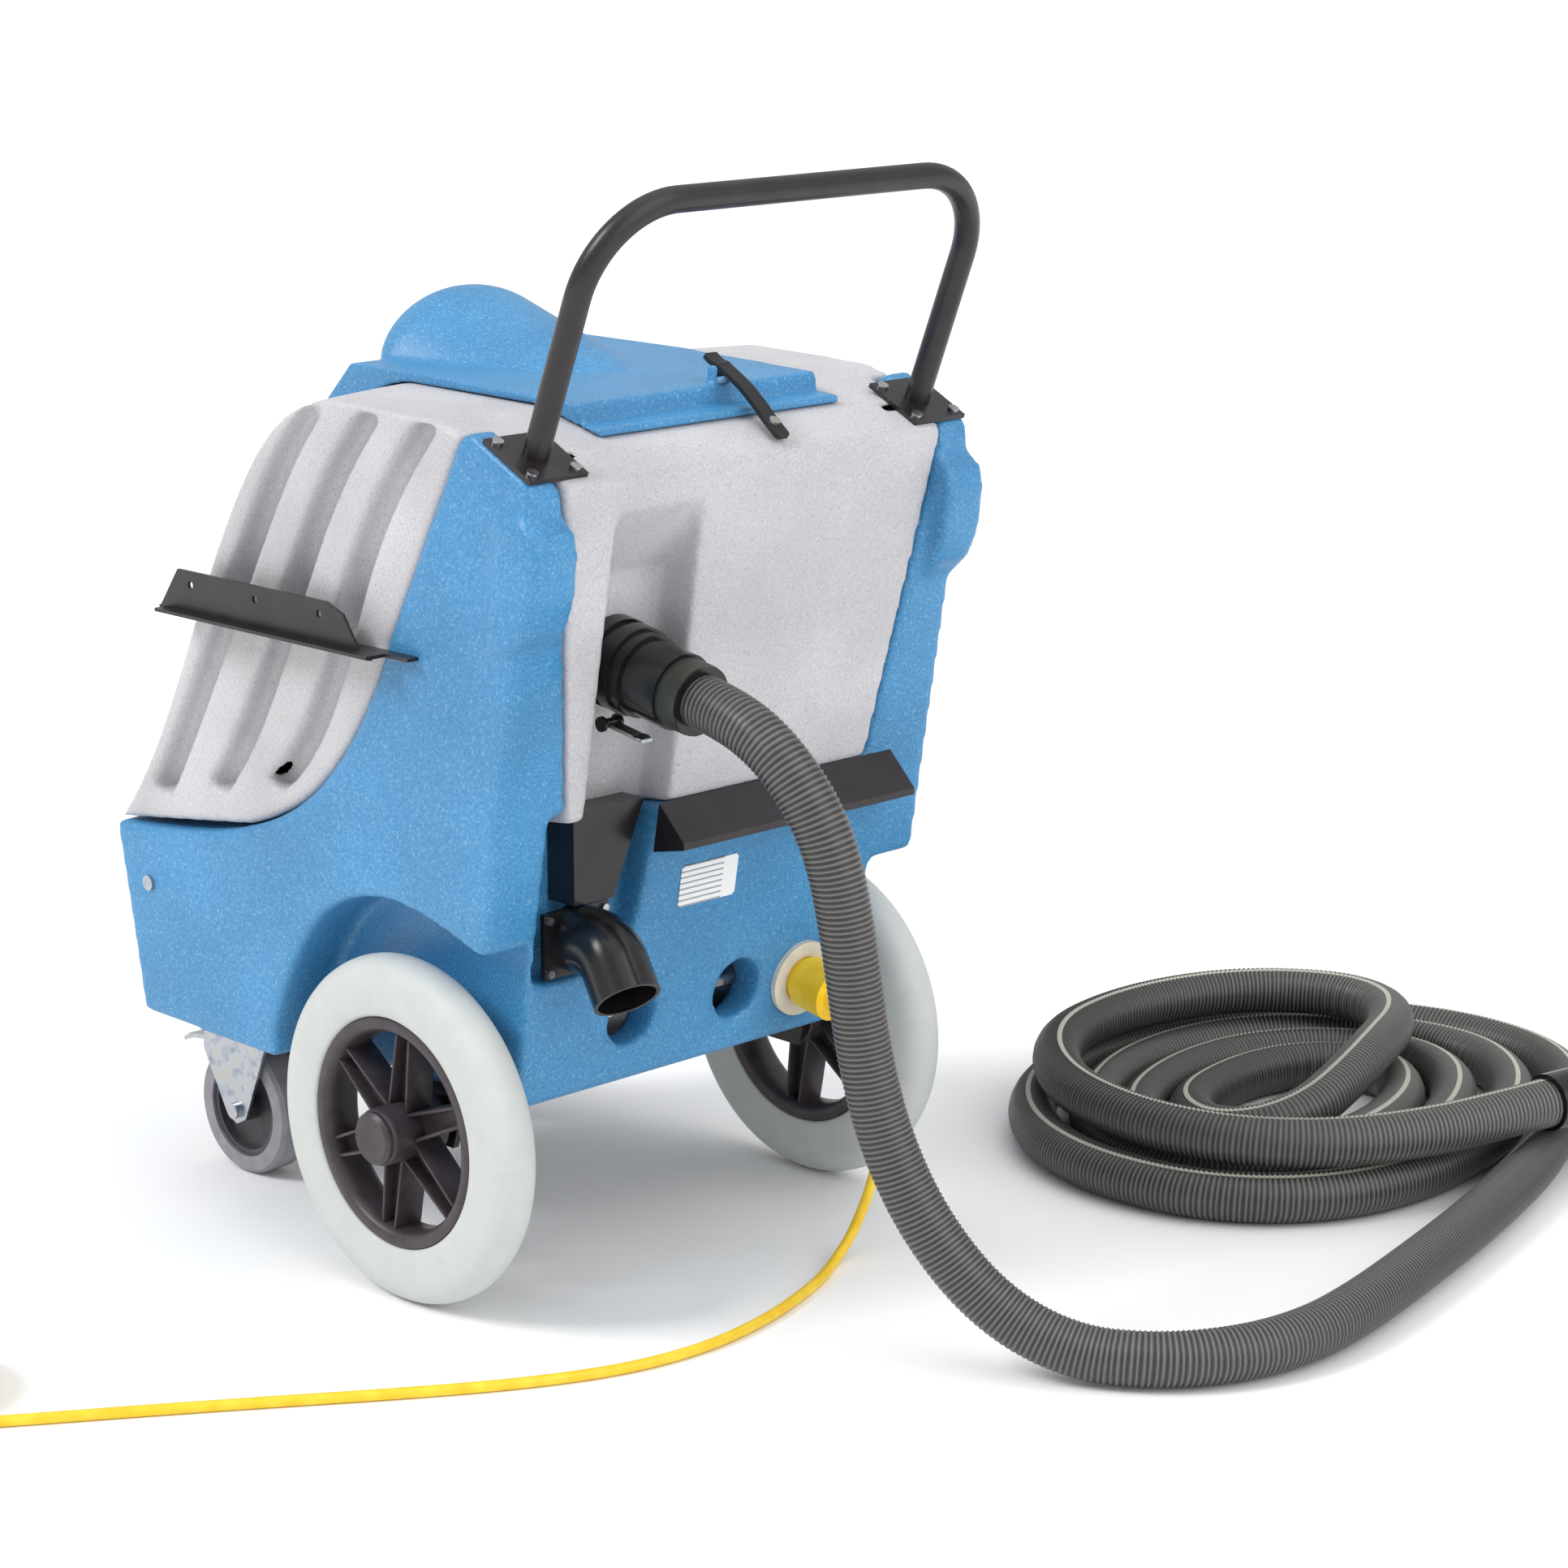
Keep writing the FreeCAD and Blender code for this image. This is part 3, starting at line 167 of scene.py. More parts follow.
# %% [markdown]
# The fittings are injection moulded.  Their skin follows a polished or spark-eroded tool, so each
# gets one colour with a slow drift, a fine grain in the relief, and a roughness of its own.

# %% Moulded plastics and rubbers
def moulded_skin(name, dark, light, rough, grain_mm=0.9, relief=0.15, metallic=0.0, ior=1.5):
    material, tree, shader = new_material(name, Roughness=rough, Metallic=metallic, IOR=ior)
    at = place_of(tree)
    shade = ramp(tree, noise(tree, at, 18, 3.0), [(0.3, dark), (0.7, light)])
    tree.links.new(shade.outputs["Color"], shader.inputs["Base Color"])
    bump(tree, shader, noise(tree, at, grain_mm, 2.0), relief, 0.0002)
    return material


black_abs = moulded_skin("black polished ABS", "#101012", "#1B1B1E", 0.22)
hub_nylon = moulded_skin("charcoal glass-filled nylon", "#332D32", "#443D43", 0.42, 1.5, 0.3)
dark_nylon = moulded_skin("dark grey nylon", "#3A383C", "#4E4B50", 0.5)
tyre_rubber = moulded_skin("grey non-marking rubber", "#C4C8C6", "#C9CDCB", 0.6, 1.4, 0.25)
tread_rubber = moulded_skin("mid-grey thermoplastic rubber", "#85838A", "#96949B", 0.6, 1.4, 0.3)
black_rubber = moulded_skin("black EPDM rubber", "#0C0C0D", "#171718", 0.5, 1.0, 0.2)
yellow_vinyl = moulded_skin("yellow vinyl", "#F2C311", "#FBD83A", 0.38, 1.6, 0.15)
ivory_nylon = moulded_skin("ivory nylon", "#CFCABB", "#E2DED2", 0.35)
cast_metal = moulded_skin("sand-cast aluminium", "#8B8C8E", "#B2B3B5", 0.45, 0.8, 0.6, 1.0)
brass = moulded_skin("turned brass", "#B08D45", "#D2B36C", 0.28, 0.5, 0.1, 1.0)
print("materials:", len(bpy.data.materials))

# %% [markdown]
# The camera stands behind the machine and to its left, a little above the handle's foot, with a long
# lens.  A pale sweep and broad soft lights are what a catalogue studio would use: the main source high
# in front and to the left, a wider one behind, one overhead, and an even sky.

# %% Camera, floor and light
BACK = Vector((-0.6833, -0.6901, 0.2385))
camera = bpy.data.objects.new("camera", bpy.data.cameras.new("camera"))
bpy.context.collection.objects.link(camera)
camera.location = (-2.3257, -2.6590, 1.2604)
camera.rotation_euler = (-BACK).to_track_quat("-Z", "Y").to_euler()
camera.data.lens = 93.17
camera.data.sensor_width = 36
bpy.context.scene.camera = camera


def deselect():
    """Nothing selected, in object mode."""
    if bpy.context.object and bpy.context.object.mode != "OBJECT":
        bpy.ops.object.mode_set(mode="OBJECT")
    bpy.ops.object.select_all(action="DESELECT")


deselect()
bpy.ops.mesh.primitive_plane_add(size=200, location=(0, 0, 0))
floor = bpy.context.object
floor.name = "studio_floor"
floor_paint, tree, shader = new_material("studio paper", Roughness=0.9)
tone = ramp(tree, noise(tree, place_of(tree), 900, 2.0), [(0.3, "#FAFAFA"), (0.7, "#FBFBFB")])
tree.links.new(tone.outputs["Color"], shader.inputs["Base Color"])
floor.data.materials.append(floor_paint)


def soft_light(name, towards, spread, strength):
    """A distant light with a broad face, so that its shadows are soft and its level even."""
    lamp = bpy.data.lights.new(name, "SUN")
    lamp.angle = math.radians(spread)
    lamp.energy = strength
    light = bpy.data.objects.new(name, lamp)
    bpy.context.collection.objects.link(light)
    light.location = towards
    light.rotation_euler = (-Vector(towards)).to_track_quat("-Z", "Y").to_euler()


soft_light("key", (-3.0, 1.7, 3.3), 22, 1.6)
soft_light("fill", (0.6, -4.0, 2.4), 60, 1.1)
soft_light("top", (0.3, -0.4, 4.5), 70, 0.6)
world = bpy.data.worlds.new("sky") if not bpy.context.scene.world else bpy.context.scene.world
bpy.context.scene.world = world
world.use_nodes = True
world.node_tree.nodes["Background"].inputs["Color"].default_value = (1, 1, 1, 1)
world.node_tree.nodes["Background"].inputs["Strength"].default_value = 0.62
bpy.context.scene.view_settings.view_transform = "Standard"

# %% [markdown]
# A cord is settled by its route: the points that its centre line is drawn towards.  The hose leaves
# the coupler, sags under its own weight to the floor, runs out in a wide bow and then lies in an
# oval coil.  Four turns lie on the floor, each inside the last, and the fifth climbs over them and
# lies on top, ending in the cuff.

# %% The hose's route
HOSE_RUN = [
    (-0.112, -0.328, 0.54), (-0.112, -0.369, 0.533), (-0.107, -0.409, 0.51), (-0.098, -0.438, 0.474),
    (-0.088, -0.456, 0.428), (-0.077, -0.464, 0.35), (-0.067, -0.469, 0.264), (-0.056, -0.486, 0.184),
    (-0.039, -0.520, 0.112), (-0.014, -0.568, 0.054), (0.016, -0.628, 0.025), (0.056, -0.686, 0.0235),
    (0.116, -0.724, 0.0235), (0.190, -0.736, 0.0235), (0.270, -0.726, 0.0235), (0.376, -0.702, 0.0235),
    (0.488, -0.674, 0.0235), (0.598, -0.642, 0.0235), (0.690, -0.610, 0.0235), (0.760, -0.576, 0.0235)]
FLOOR_TURNS = [
    (0.838, -0.542), (0.898, -0.500), (0.940, -0.446), (0.958, -0.384), (0.956, -0.316), (0.930, -0.244),
    (0.880, -0.178), (0.808, -0.130), (0.722, -0.108), (0.634, -0.108), (0.552, -0.126), (0.476, -0.168),
    (0.416, -0.230), (0.382, -0.304), (0.374, -0.378), (0.388, -0.450), (0.430, -0.510), (0.494, -0.548),
    (0.572, -0.560), (0.650, -0.554), (0.724, -0.536), (0.794, -0.506), (0.856, -0.462), (0.896, -0.408),
    (0.908, -0.352), (0.894, -0.286), (0.854, -0.232), (0.800, -0.186), (0.738, -0.162), (0.664, -0.158),
    (0.590, -0.174), (0.520, -0.210), (0.464, -0.260), (0.432, -0.326), (0.426, -0.392), (0.454, -0.452),
    (0.510, -0.494), (0.580, -0.506), (0.650, -0.502), (0.716, -0.484), (0.776, -0.452), (0.826, -0.410),
    (0.852, -0.354), (0.842, -0.300), (0.804, -0.250), (0.742, -0.216), (0.672, -0.210), (0.604, -0.222),
    (0.542, -0.248), (0.492, -0.290), (0.476, -0.354), (0.496, -0.418), (0.556, -0.452), (0.630, -0.456),
    (0.702, -0.436), (0.758, -0.404), (0.796, -0.360), (0.794, -0.312), (0.758, -0.274), (0.700, -0.260),
    (0.642, -0.264), (0.588, -0.278), (0.550, -0.308)]
TOP_TURN = [
    (0.534, -0.352, 0.025), (0.552, -0.392, 0.032), (0.602, -0.410, 0.044), (0.668, -0.402, 0.06),
    (0.738, -0.382, 0.071), (0.800, -0.356, 0.071), (0.846, -0.316, 0.071), (0.858, -0.260, 0.071),
    (0.830, -0.204, 0.071), (0.776, -0.158, 0.071), (0.704, -0.134, 0.071), (0.626, -0.130, 0.071),
    (0.550, -0.146, 0.071), (0.482, -0.192, 0.071), (0.432, -0.256, 0.071), (0.406, -0.330, 0.071),
    (0.402, -0.404, 0.071), (0.424, -0.474, 0.071), (0.474, -0.532, 0.071), (0.544, -0.568, 0.071),
    (0.618, -0.590, 0.072), (0.698, -0.610, 0.076)]
HOSE_RADIUS = 0.0235
HOSE_ROUTE = HOSE_RUN + [(x, y, HOSE_RADIUS) for x, y in FLOOR_TURNS] + TOP_TURN


def smooth_route(name, points, resolution):
    """One NURBS spline drawn towards the points, as a curve object."""
    curve = bpy.data.curves.new(name, "CURVE")
    curve.dimensions = "3D"
    curve.resolution_u = resolution
    spline = curve.splines.new("NURBS")
    spline.points.add(len(points) - 1)
    for control, point in zip(spline.points, points):
        control.co = (*point, 1)
    spline.order_u = 3
    spline.use_endpoint_u = True
    made = bpy.data.objects.new(name, curve)
    bpy.context.collection.objects.link(made)
    return made


# %% [markdown]
# The hose is a ribbed vinyl tube: a hard helix under a soft skin, so its wall rises and falls every
# 4.7 mm, round a screw line.  A curve with a round bevel would be smooth, and a relief painted on it
# would leave a plain outline.  So rings are laid along the curve at a third of the rib's pitch, and
# each ring's radius follows the helix.  Its UV map runs round the hose and along it in metres, which
# lets the finish paint shade into each rib's valley and a highlight on its crest, and paint the pale
# tracer line that such hoses carry.  The hose lies with half a turn of twist in its hanging part, so
# the line faces the machine there and shows on top of the coil.

# %% Ribbed hose
RIB_PITCH, RIB_DEPTH, ROUND, PER_RIB = 0.0047, 0.0015, 20, 3


def even_points(route, step):
    """Points an even step apart on a curve with no bevel."""
    mesh = bpy.data.meshes.new_from_object(route)
    line = np.array([v.co[:] for v in mesh.vertices])
    bpy.data.meshes.remove(mesh)
    lengths = np.concatenate([[0], np.cumsum(np.linalg.norm(np.diff(line, axis=0), axis=1))])
    wanted = np.linspace(0, lengths[-1], int(lengths[-1] / step) + 1)
    return np.stack([np.interp(wanted, lengths, line[:, k]) for k in range(3)], axis=1), lengths[-1]


def ribbed_tube(name, route, radius, pitch, depth, around):
    """A tube along a route whose wall rises and falls on a helix; returns it and its centre line."""
    centre, length = even_points(route, pitch / PER_RIB)
    heading = np.gradient(centre, axis=0)
    heading /= np.linalg.norm(heading, axis=1)[:, None]
    side = np.cross(heading[0], (0.0, 0.0, 1.0))
    sides = []
    for direction in heading:
        side = side - direction * side.dot(direction)
        side /= np.linalg.norm(side)
        sides.append(side)
    sides = np.array(sides)
    ups = np.cross(sides, heading)
    turn = np.arange(around) / around
    phase = np.arange(len(centre))[:, None] / PER_RIB - turn[None, :]
    wall = radius - depth * (0.5 - 0.5 * np.cos(2 * np.pi * phase)) ** 0.7
    angle = 2 * np.pi * turn
    rim = sides[:, None, :] * np.cos(angle)[None, :, None] + ups[:, None, :] * np.sin(angle)[None, :, None]
    points = (centre[:, None, :] + rim * wall[:, :, None]).reshape(-1, 3)
    faces = []
    for ring in range(len(centre) - 1):
        for k in range(around):
            ahead = (k + 1) % around
            faces.append((ring * around + k, ring * around + ahead,
                          (ring + 1) * around + ahead, (ring + 1) * around + k))
    faces.append(tuple(range(around)))
    faces.append(tuple(reversed(range((len(centre) - 1) * around, len(centre) * around))))
    mesh = bpy.data.meshes.new(name)
    mesh.from_pydata(points.tolist(), [], faces)
    corners = np.zeros((len(mesh.loops), 2))
    step = length / (len(centre) - 1)
    for face in range((len(centre) - 1) * around):
        ring, k = divmod(face, around)
        near, far = ring * step, (ring + 1) * step
        corners[4 * face:4 * face + 4] = [(k / around, near), ((k + 1) / around, near),
                                          ((k + 1) / around, far), (k / around, far)]
    mesh.uv_layers.new(name="round_and_along").data.foreach_set("uv", corners.ravel())
    mesh.polygons.foreach_set("use_smooth", [True] * len(mesh.polygons))
    tube = bpy.data.objects.new(name, mesh)
    bpy.context.collection.objects.link(tube)
    fix_outward(tube)
    return tube, centre[::6].tolist() + [centre[-1].tolist()], length


def fix_outward(piece):
    """Faces of a closed mesh all point outward."""
    shell = bmesh.new()
    shell.from_mesh(piece.data)
    bmesh.ops.recalc_face_normals(shell, faces=shell.faces)
    shell.to_mesh(piece.data)
    shell.free()


hose_vinyl, tree, shader = new_material("ribbed grey vinyl", Roughness=0.42, IOR=1.5)
uv = add_node(tree, "ShaderNodeUVMap", {"uv_map": "round_and_along"})
split = add_node(tree, "ShaderNodeSeparateXYZ", links={"Vector": uv.outputs["UV"]})
ribs = add_node(tree, "ShaderNodeMath", {"operation": "MULTIPLY_ADD"}, {1: 1 / RIB_PITCH},
                {0: split.outputs["Y"]})
backward = add_node(tree, "ShaderNodeMath", {"operation": "MULTIPLY"}, {1: -1.0}, {0: split.outputs["X"]})
tree.links.new(backward.outputs[0], ribs.inputs[2])
saw = add_node(tree, "ShaderNodeMath", {"operation": "FRACT"}, links={0: ribs.outputs[0]})
# Painted shade and highlight: along each rib the colour goes from a light crest to a near-black valley,
# standing in for the shade in the grooves and the light on the crests.
rib_painted_shade_and_highlight = ramp(tree, saw.outputs[0], [(0.0, "#73726F"), (0.16, "#5C5B59"), (0.45, "#262525"),
                                       (0.6, "#262525"), (0.86, "#4D4C4A"), (1.0, "#73726F")])
untwisted = add_node(tree, "ShaderNodeMapRange", values={1: 0.9, 2: 1.5, 3: 0.8, 4: 0.27},
                     links={0: split.outputs["Y"]})
off_line = add_node(tree, "ShaderNodeMath", {"operation": "SUBTRACT"},
                    links={0: split.outputs["X"], 1: untwisted.outputs[0]})
far = add_node(tree, "ShaderNodeMath", {"operation": "ABSOLUTE"}, links={0: off_line.outputs[0]})
on_tracer = add_node(tree, "ShaderNodeMath", {"operation": "LESS_THAN"}, {1: 0.016}, {0: far.outputs[0]})
tracer = add_node(tree, "ShaderNodeMix", {"data_type": "RGBA"}, links={0: on_tracer.outputs[0]})
tree.links.new(rib_painted_shade_and_highlight.outputs["Color"], tracer.inputs[6])
tracer.inputs[7].default_value = linear("#B9B9AC")
tree.links.new(tracer.outputs[2], shader.inputs["Base Color"])

hose_line = smooth_route("hose_line", HOSE_ROUTE, 8)
hose, hose_centre, hose_length = ribbed_tube("vacuum_hose_ribbed", hose_line, HOSE_RADIUS, RIB_PITCH,
                                             RIB_DEPTH, ROUND)
bpy.data.objects.remove(hose_line)
hose.data.materials.append(hose_vinyl)
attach(hose, "root")
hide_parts("vacuum_hose", "hose_coil")
print("hose", round(hose_length, 3), "m,", len(hose.data.polygons), "faces")

# %% [markdown]
# The mains lead drops from its connector to the floor and runs out forward on the machine's left.
# Most of its 7.4 m is put away beyond the picture's edge, wound flat in four layers of four turns.
# It has no ribs, so the plain tool is right: the route's own curve with a round bevel.

# %% Mains lead
LEAD_RADIUS = 0.00475
LEAD_RUN = [
    (0.127, -0.2703, 0.2191), (0.1265, -0.292, 0.213), (0.125, -0.308, 0.196), (0.122, -0.315, 0.168),
    (0.119, -0.316, 0.136), (0.117, -0.313, 0.104), (0.114, -0.307, 0.072), (0.108, -0.300, 0.042),
    (0.095, -0.296, 0.016), (0.070, -0.303, 0.00475), (0.034, -0.324, 0.00475),
    (-0.010, -0.342, 0.00475), (-0.066, -0.360, 0.00475), (-0.144, -0.372, 0.00475),
    (-0.226, -0.362, 0.00475), (-0.308, -0.326, 0.00475), (-0.396, -0.270, 0.00475),
    (-0.484, -0.208, 0.00475), (-0.566, -0.152, 0.00475), (-0.630, -0.110, 0.00475),
    (-0.684, -0.073, 0.00475), (-0.736, -0.039, 0.00475)]
COIL_MIDDLE, COIL_RADII, LAYER = (-0.691, 0.029), [0.082, 0.0723, 0.0626, 0.0529, 0.0432], 0.0097
START_ANGLE, PER_TURN = math.radians(-146), 16


def between(value, low, high):
    """How far a value is from low to high, from 0 to 1."""
    return min(1.0, max(0.0, (value - low) / (high - low)))


def wound_coil():
    """Turns laid inward on one layer and outward on the next."""
    points = []
    turn = 0
    for layer in range(4):
        radii = COIL_RADII if layer % 2 == 0 else COIL_RADII[::-1]
        for count, (radius, following) in enumerate(zip(radii, radii[1:])):
            for step in range(PER_TURN):
                part = step / PER_TURN
                r = radius + (following - radius) * between(part, 0.35, 0.65)
                z = LEAD_RADIUS + LAYER * layer
                if count == 3 and layer < 3:
                    z += LAYER * between(part, 0.7, 1.0)
                angle = START_ANGLE - 2 * math.pi * (turn + part)
                points.append((COIL_MIDDLE[0] + r * math.cos(angle), COIL_MIDDLE[1] + r * math.sin(angle), z))
            turn += 1
    return points


lead = smooth_route("mains_lead", LEAD_RUN + wound_coil(), 6)
lead.data.bevel_depth = LEAD_RADIUS
lead.data.bevel_resolution = 4
lead.data.use_fill_caps = True
lead.data.materials.append(yellow_vinyl)
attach(lead, "root")
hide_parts("power_lead", "lead_coil")
# %% [markdown]
# Nothing that comes out of a rotational mould has a sharp edge: powder flows round every corner of
# the tool, so a wall turns over on a radius of a centimetre or so.  Each shell is copied, divided into
# even cells, settled back on the sharp shell and relaxed, which rounds its edges and grooves and
# leaves its flats flat.  The solution tank is closed, so the skin of its cavity is left out.  The
# recovery tank can be looked into, so it keeps both skins, and the cells have to be smaller than its
# wall; it is then parted into an outside and an inside, to keep each piece light.

# %% Moulded shells
def drop_inner_skins(shell):
    """Only the widest of a mesh's separate skins is kept."""
    waiting, skins = set(shell.verts), []
    while waiting:
        skin, front = set(), [waiting.pop()]
        while front:
            vertex = front.pop()
            skin.add(vertex)
            beside = {edge.other_vert(vertex) for edge in vertex.link_edges} & waiting
            waiting -= beside
            front += beside
        skins.append(skin)
    widest = max(skins, key=lambda skin: max(v.co.x for v in skin) - min(v.co.x for v in skin))
    inner = [v for skin in skins if skin is not widest for v in skin]
    bmesh.ops.delete(shell, geom=inner, context="VERTS")


def finish_shell(piece, source, finish, body):
    """A softened shell smooth-shaded, with its finish, body and engineering piece."""
    piece.data.materials.clear()
    piece.data.materials.append(finish)
    piece.data.polygons.foreach_set("use_smooth", [True] * len(piece.data.polygons))
    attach(piece, body)
    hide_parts(source)
    print(piece.name, sum(len(face.vertices) - 2 for face in piece.data.polygons), "triangles")


def softened(name, source, cell, passes):
    """A copy of an engineering shell with its edges rounded as a mould leaves them."""
    shell = bmesh.new()
    shell.from_mesh(nodes[source].data)
    bmesh.ops.remove_doubles(shell, verts=shell.verts, dist=0.00001)
    drop_inner_skins(shell)
    sharp = bpy.data.meshes.new(name + "_sharp")
    shell.to_mesh(sharp)
    shell.free()
    target = bpy.data.objects.new(name + "_sharp", sharp)
    piece = bpy.data.objects.new(name, sharp.copy())
    bpy.context.collection.objects.link(target)
    bpy.context.collection.objects.link(piece)
    cells = piece.modifiers.new("cells", "REMESH")
    cells.mode = "VOXEL"
    cells.voxel_size = cell
    settle = piece.modifiers.new("settle", "SHRINKWRAP")
    settle.target = target
    settle.wrap_method = "NEAREST_SURFACEPOINT"
    relax = piece.modifiers.new("relax", "SMOOTH")
    relax.factor = 0.5
    relax.iterations = passes
    bpy.context.view_layer.update()
    shaped = piece.evaluated_get(bpy.context.evaluated_depsgraph_get())
    piece.data = bpy.data.meshes.new_from_object(shaped)
    piece.modifiers.clear()
    bpy.data.objects.remove(target)
    return piece


def part_inside(piece, name):
    """Move the faces that look into a hollow piece's cavity to a piece of their own."""
    tree = BVHTree.FromPolygons([v.co for v in piece.data.vertices],
                                [face.vertices[:] for face in piece.data.polygons])
    ways = [Vector(way) for way in ((1, 0, 0), (-1, 0, 0), (0, -1, 0), (0, 0, -1), (0, 1, 0))]
    enclosed = []
    for face in piece.data.polygons:
        spot = face.center + face.normal * 0.0015
        enclosed.append(all(tree.ray_cast(spot, way)[0] for way in ways))
    inside = bpy.data.objects.new(name, piece.data.copy())
    bpy.context.collection.objects.link(inside)
    for half, wanted in ((piece, False), (inside, True)):
        shell = bmesh.new()
        shell.from_mesh(half.data)
        shell.faces.ensure_lookup_table()
        others = [face for face, within in zip(shell.faces, enclosed) if within != wanted]
        bmesh.ops.delete(shell, geom=others, context="FACES")
        shell.to_mesh(half.data)
        shell.free()
    return inside


blue_shell = softened("solution_tank_moulded", "solution_tank", 0.0043, 12)
finish_shell(blue_shell, "solution_tank", blue_poly, "root")
grey_shell = softened("recovery_tank_moulded", "recovery_tank", 0.0041, 8)
grey_inside = part_inside(grey_shell, "recovery_tank_inside")
finish_shell(grey_shell, "recovery_tank", grey_poly, "root")
finish_shell(grey_inside, "recovery_tank", grey_poly, "root")
lid_shell = softened("recovery_lid_moulded", "recovery_lid", 0.0026, 9)
finish_shell(lid_shell, "recovery_lid", blue_poly, "lid")


# %% [markdown]
# The rear tyres are solid moulded rubber: a flat side, a broad round shoulder and a tread with hardly
# any crown.  A hub is one moulding too.  Its rim has a raised lip, and each of its six spokes is a
# channel: a web in the middle plane with a rib along both edges, wider at the boss than at the rim.

# %% Rear wheels
def spun(name, profile, middle, segments=128):
    """A ring turned about the wheel's axle from a closed (radius, along) profile."""
    mesh = bmesh.new()
    corners = [mesh.verts.new((along, radius, 0)) for radius, along in profile]
    edges = [mesh.edges.new(pair) for pair in zip(corners, corners[1:] + corners[:1])]
    bmesh.ops.spin(mesh, geom=corners + edges, cent=(0, 0, 0), axis=(1, 0, 0), angle=2 * math.pi,
                   steps=segments, use_merge=True)
    bmesh.ops.remove_doubles(mesh, verts=mesh.verts, dist=0.00001)
    return finished_mesh(mesh, name, middle)


def finished_mesh(mesh, name, middle):
    """A mesh moved to its place, its faces turned outward, as a smooth-shaded object."""
    bmesh.ops.translate(mesh, verts=mesh.verts, vec=middle)
    bmesh.ops.recalc_face_normals(mesh, faces=mesh.faces)
    made = bpy.data.meshes.new(name)
    mesh.to_mesh(made)
    mesh.free()
    piece = bpy.data.objects.new(name, made)
    bpy.context.collection.objects.link(piece)
    return piece


def rounded_bar(mesh, corners, turn, edge=0.0012):
    """A spoke's bar: a block through eight corners, its edges rounded, turned about the axle."""
    verts = [mesh.verts.new(c) for c in corners]
    sides = [(0, 1, 2, 3), (7, 6, 5, 4), (0, 4, 5, 1), (1, 5, 6, 2), (2, 6, 7, 3), (3, 7, 4, 0)]
    faces = [mesh.faces.new([verts[i] for i in side]) for side in sides]
    edges = list({e for face in faces for e in face.edges})
    rounded = bmesh.ops.bevel(mesh, geom=edges, offset=edge, segments=2, affect="EDGES", profile=0.5)
    moved = {v for v in rounded["verts"]} | {v for v in verts if v.is_valid}
    bmesh.ops.rotate(mesh, verts=list(moved), cent=(0, 0, 0), matrix=Matrix.Rotation(turn, 3, "X"))


def block(along, across, radius_in, radius_out, across_out=None):
    """Eight corners of a bar that runs outward: its spans along the axle and across the spoke."""
    across_out = across_out or across
    low = [(along[0], across[0], radius_in), (along[1], across[0], radius_in),
           (along[1], across[1], radius_in), (along[0], across[1], radius_in)]
    high = [(along[0], across_out[0], radius_out), (along[1], across_out[0], radius_out),
            (along[1], across_out[1], radius_out), (along[0], across_out[1], radius_out)]
    return low + high


TYRE_HALF = [(0.1012, 0.0), (0.1012, 0.0172), (0.1022, 0.0192), (0.1044, 0.0202), (0.110, 0.0209),
             (0.118, 0.0216), (0.126, 0.0219), (0.133, 0.0214), (0.139, 0.0200), (0.1442, 0.0173),
             (0.1482, 0.0135), (0.1507, 0.0092), (0.1520, 0.0046), (0.1525, 0.0)]
RIM_HALF = [(0.0858, 0.0), (0.0866, 0.0105), (0.0886, 0.0152), (0.0902, 0.0176), (0.0922, 0.0188),
            (0.0950, 0.0190), (0.0985, 0.0190), (0.1003, 0.0183), (0.1010, 0.0168), (0.1010, 0.0)]
BOSS = [(0.0112, -0.0259), (0.0232, -0.0259), (0.0246, -0.0246), (0.0250, -0.0200), (0.0250, 0.0300),
        (0.0247, 0.0334), (0.0236, 0.0352), (0.0112, 0.0354)]


def both_halves(half):
    """A closed profile from its outer half, mirrored across the wheel's middle."""
    return half + [(radius, -along) for radius, along in reversed(half[1:-1])]


for side, body_side in ((-1, "left"), (1, "right")):
    low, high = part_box(f"tyre_{body_side}")
    middle = [(a + b) / 2 for a, b in zip(low, high)]
    tyre = spun(f"tyre_{body_side}_moulded", both_halves(TYRE_HALF), middle)
    tyre.data.materials.append(tyre_rubber)
    rim = spun(f"hub_{body_side}_rim", both_halves(RIM_HALF), middle)
    boss = spun(f"hub_{body_side}_boss", [(radius, side * along) for radius, along in BOSS], middle, 64)
    bars = bmesh.new()
    for count in range(6):
        turn = math.radians(60 * count + 8)
        rounded_bar(bars, block((-0.0028, 0.0028), (-0.0118, 0.0118), 0.022, 0.0875, (-0.0086, 0.0086)), turn)
        for edge in (-1, 1):
            inner, outer = sorted((edge * 0.0094, edge * 0.0124)), sorted((edge * 0.0064, edge * 0.0094))
            rounded_bar(bars, block((-0.0145, 0.0145), inner, 0.0215, 0.0875, outer), turn)
    spokes = finished_mesh(bars, f"hub_{body_side}_spokes", middle)
    for piece in (rim, boss, spokes):
        piece.data.materials.append(hub_nylon)
    deselect()
    for piece in (tyre, rim, boss, spokes):
        piece.select_set(True)
    bpy.context.view_layer.objects.active = tyre
    bpy.ops.object.shade_smooth_by_angle(angle=math.radians(40))
    for piece in (rim, boss, spokes):
        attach(piece, f"wheel_{body_side}")
        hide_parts(f"hub_{body_side}")
    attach(tyre, f"wheel_{body_side}")
    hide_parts(f"tyre_{body_side}")

# %% [markdown]
# The small pieces on the back are finished more finely.  The latch is a rubber strap whose end curls
# up as a finger tab, and a soft olive sleeve covers the coupler's last step.  A data plate on the
# back carries plain rules, with no words.

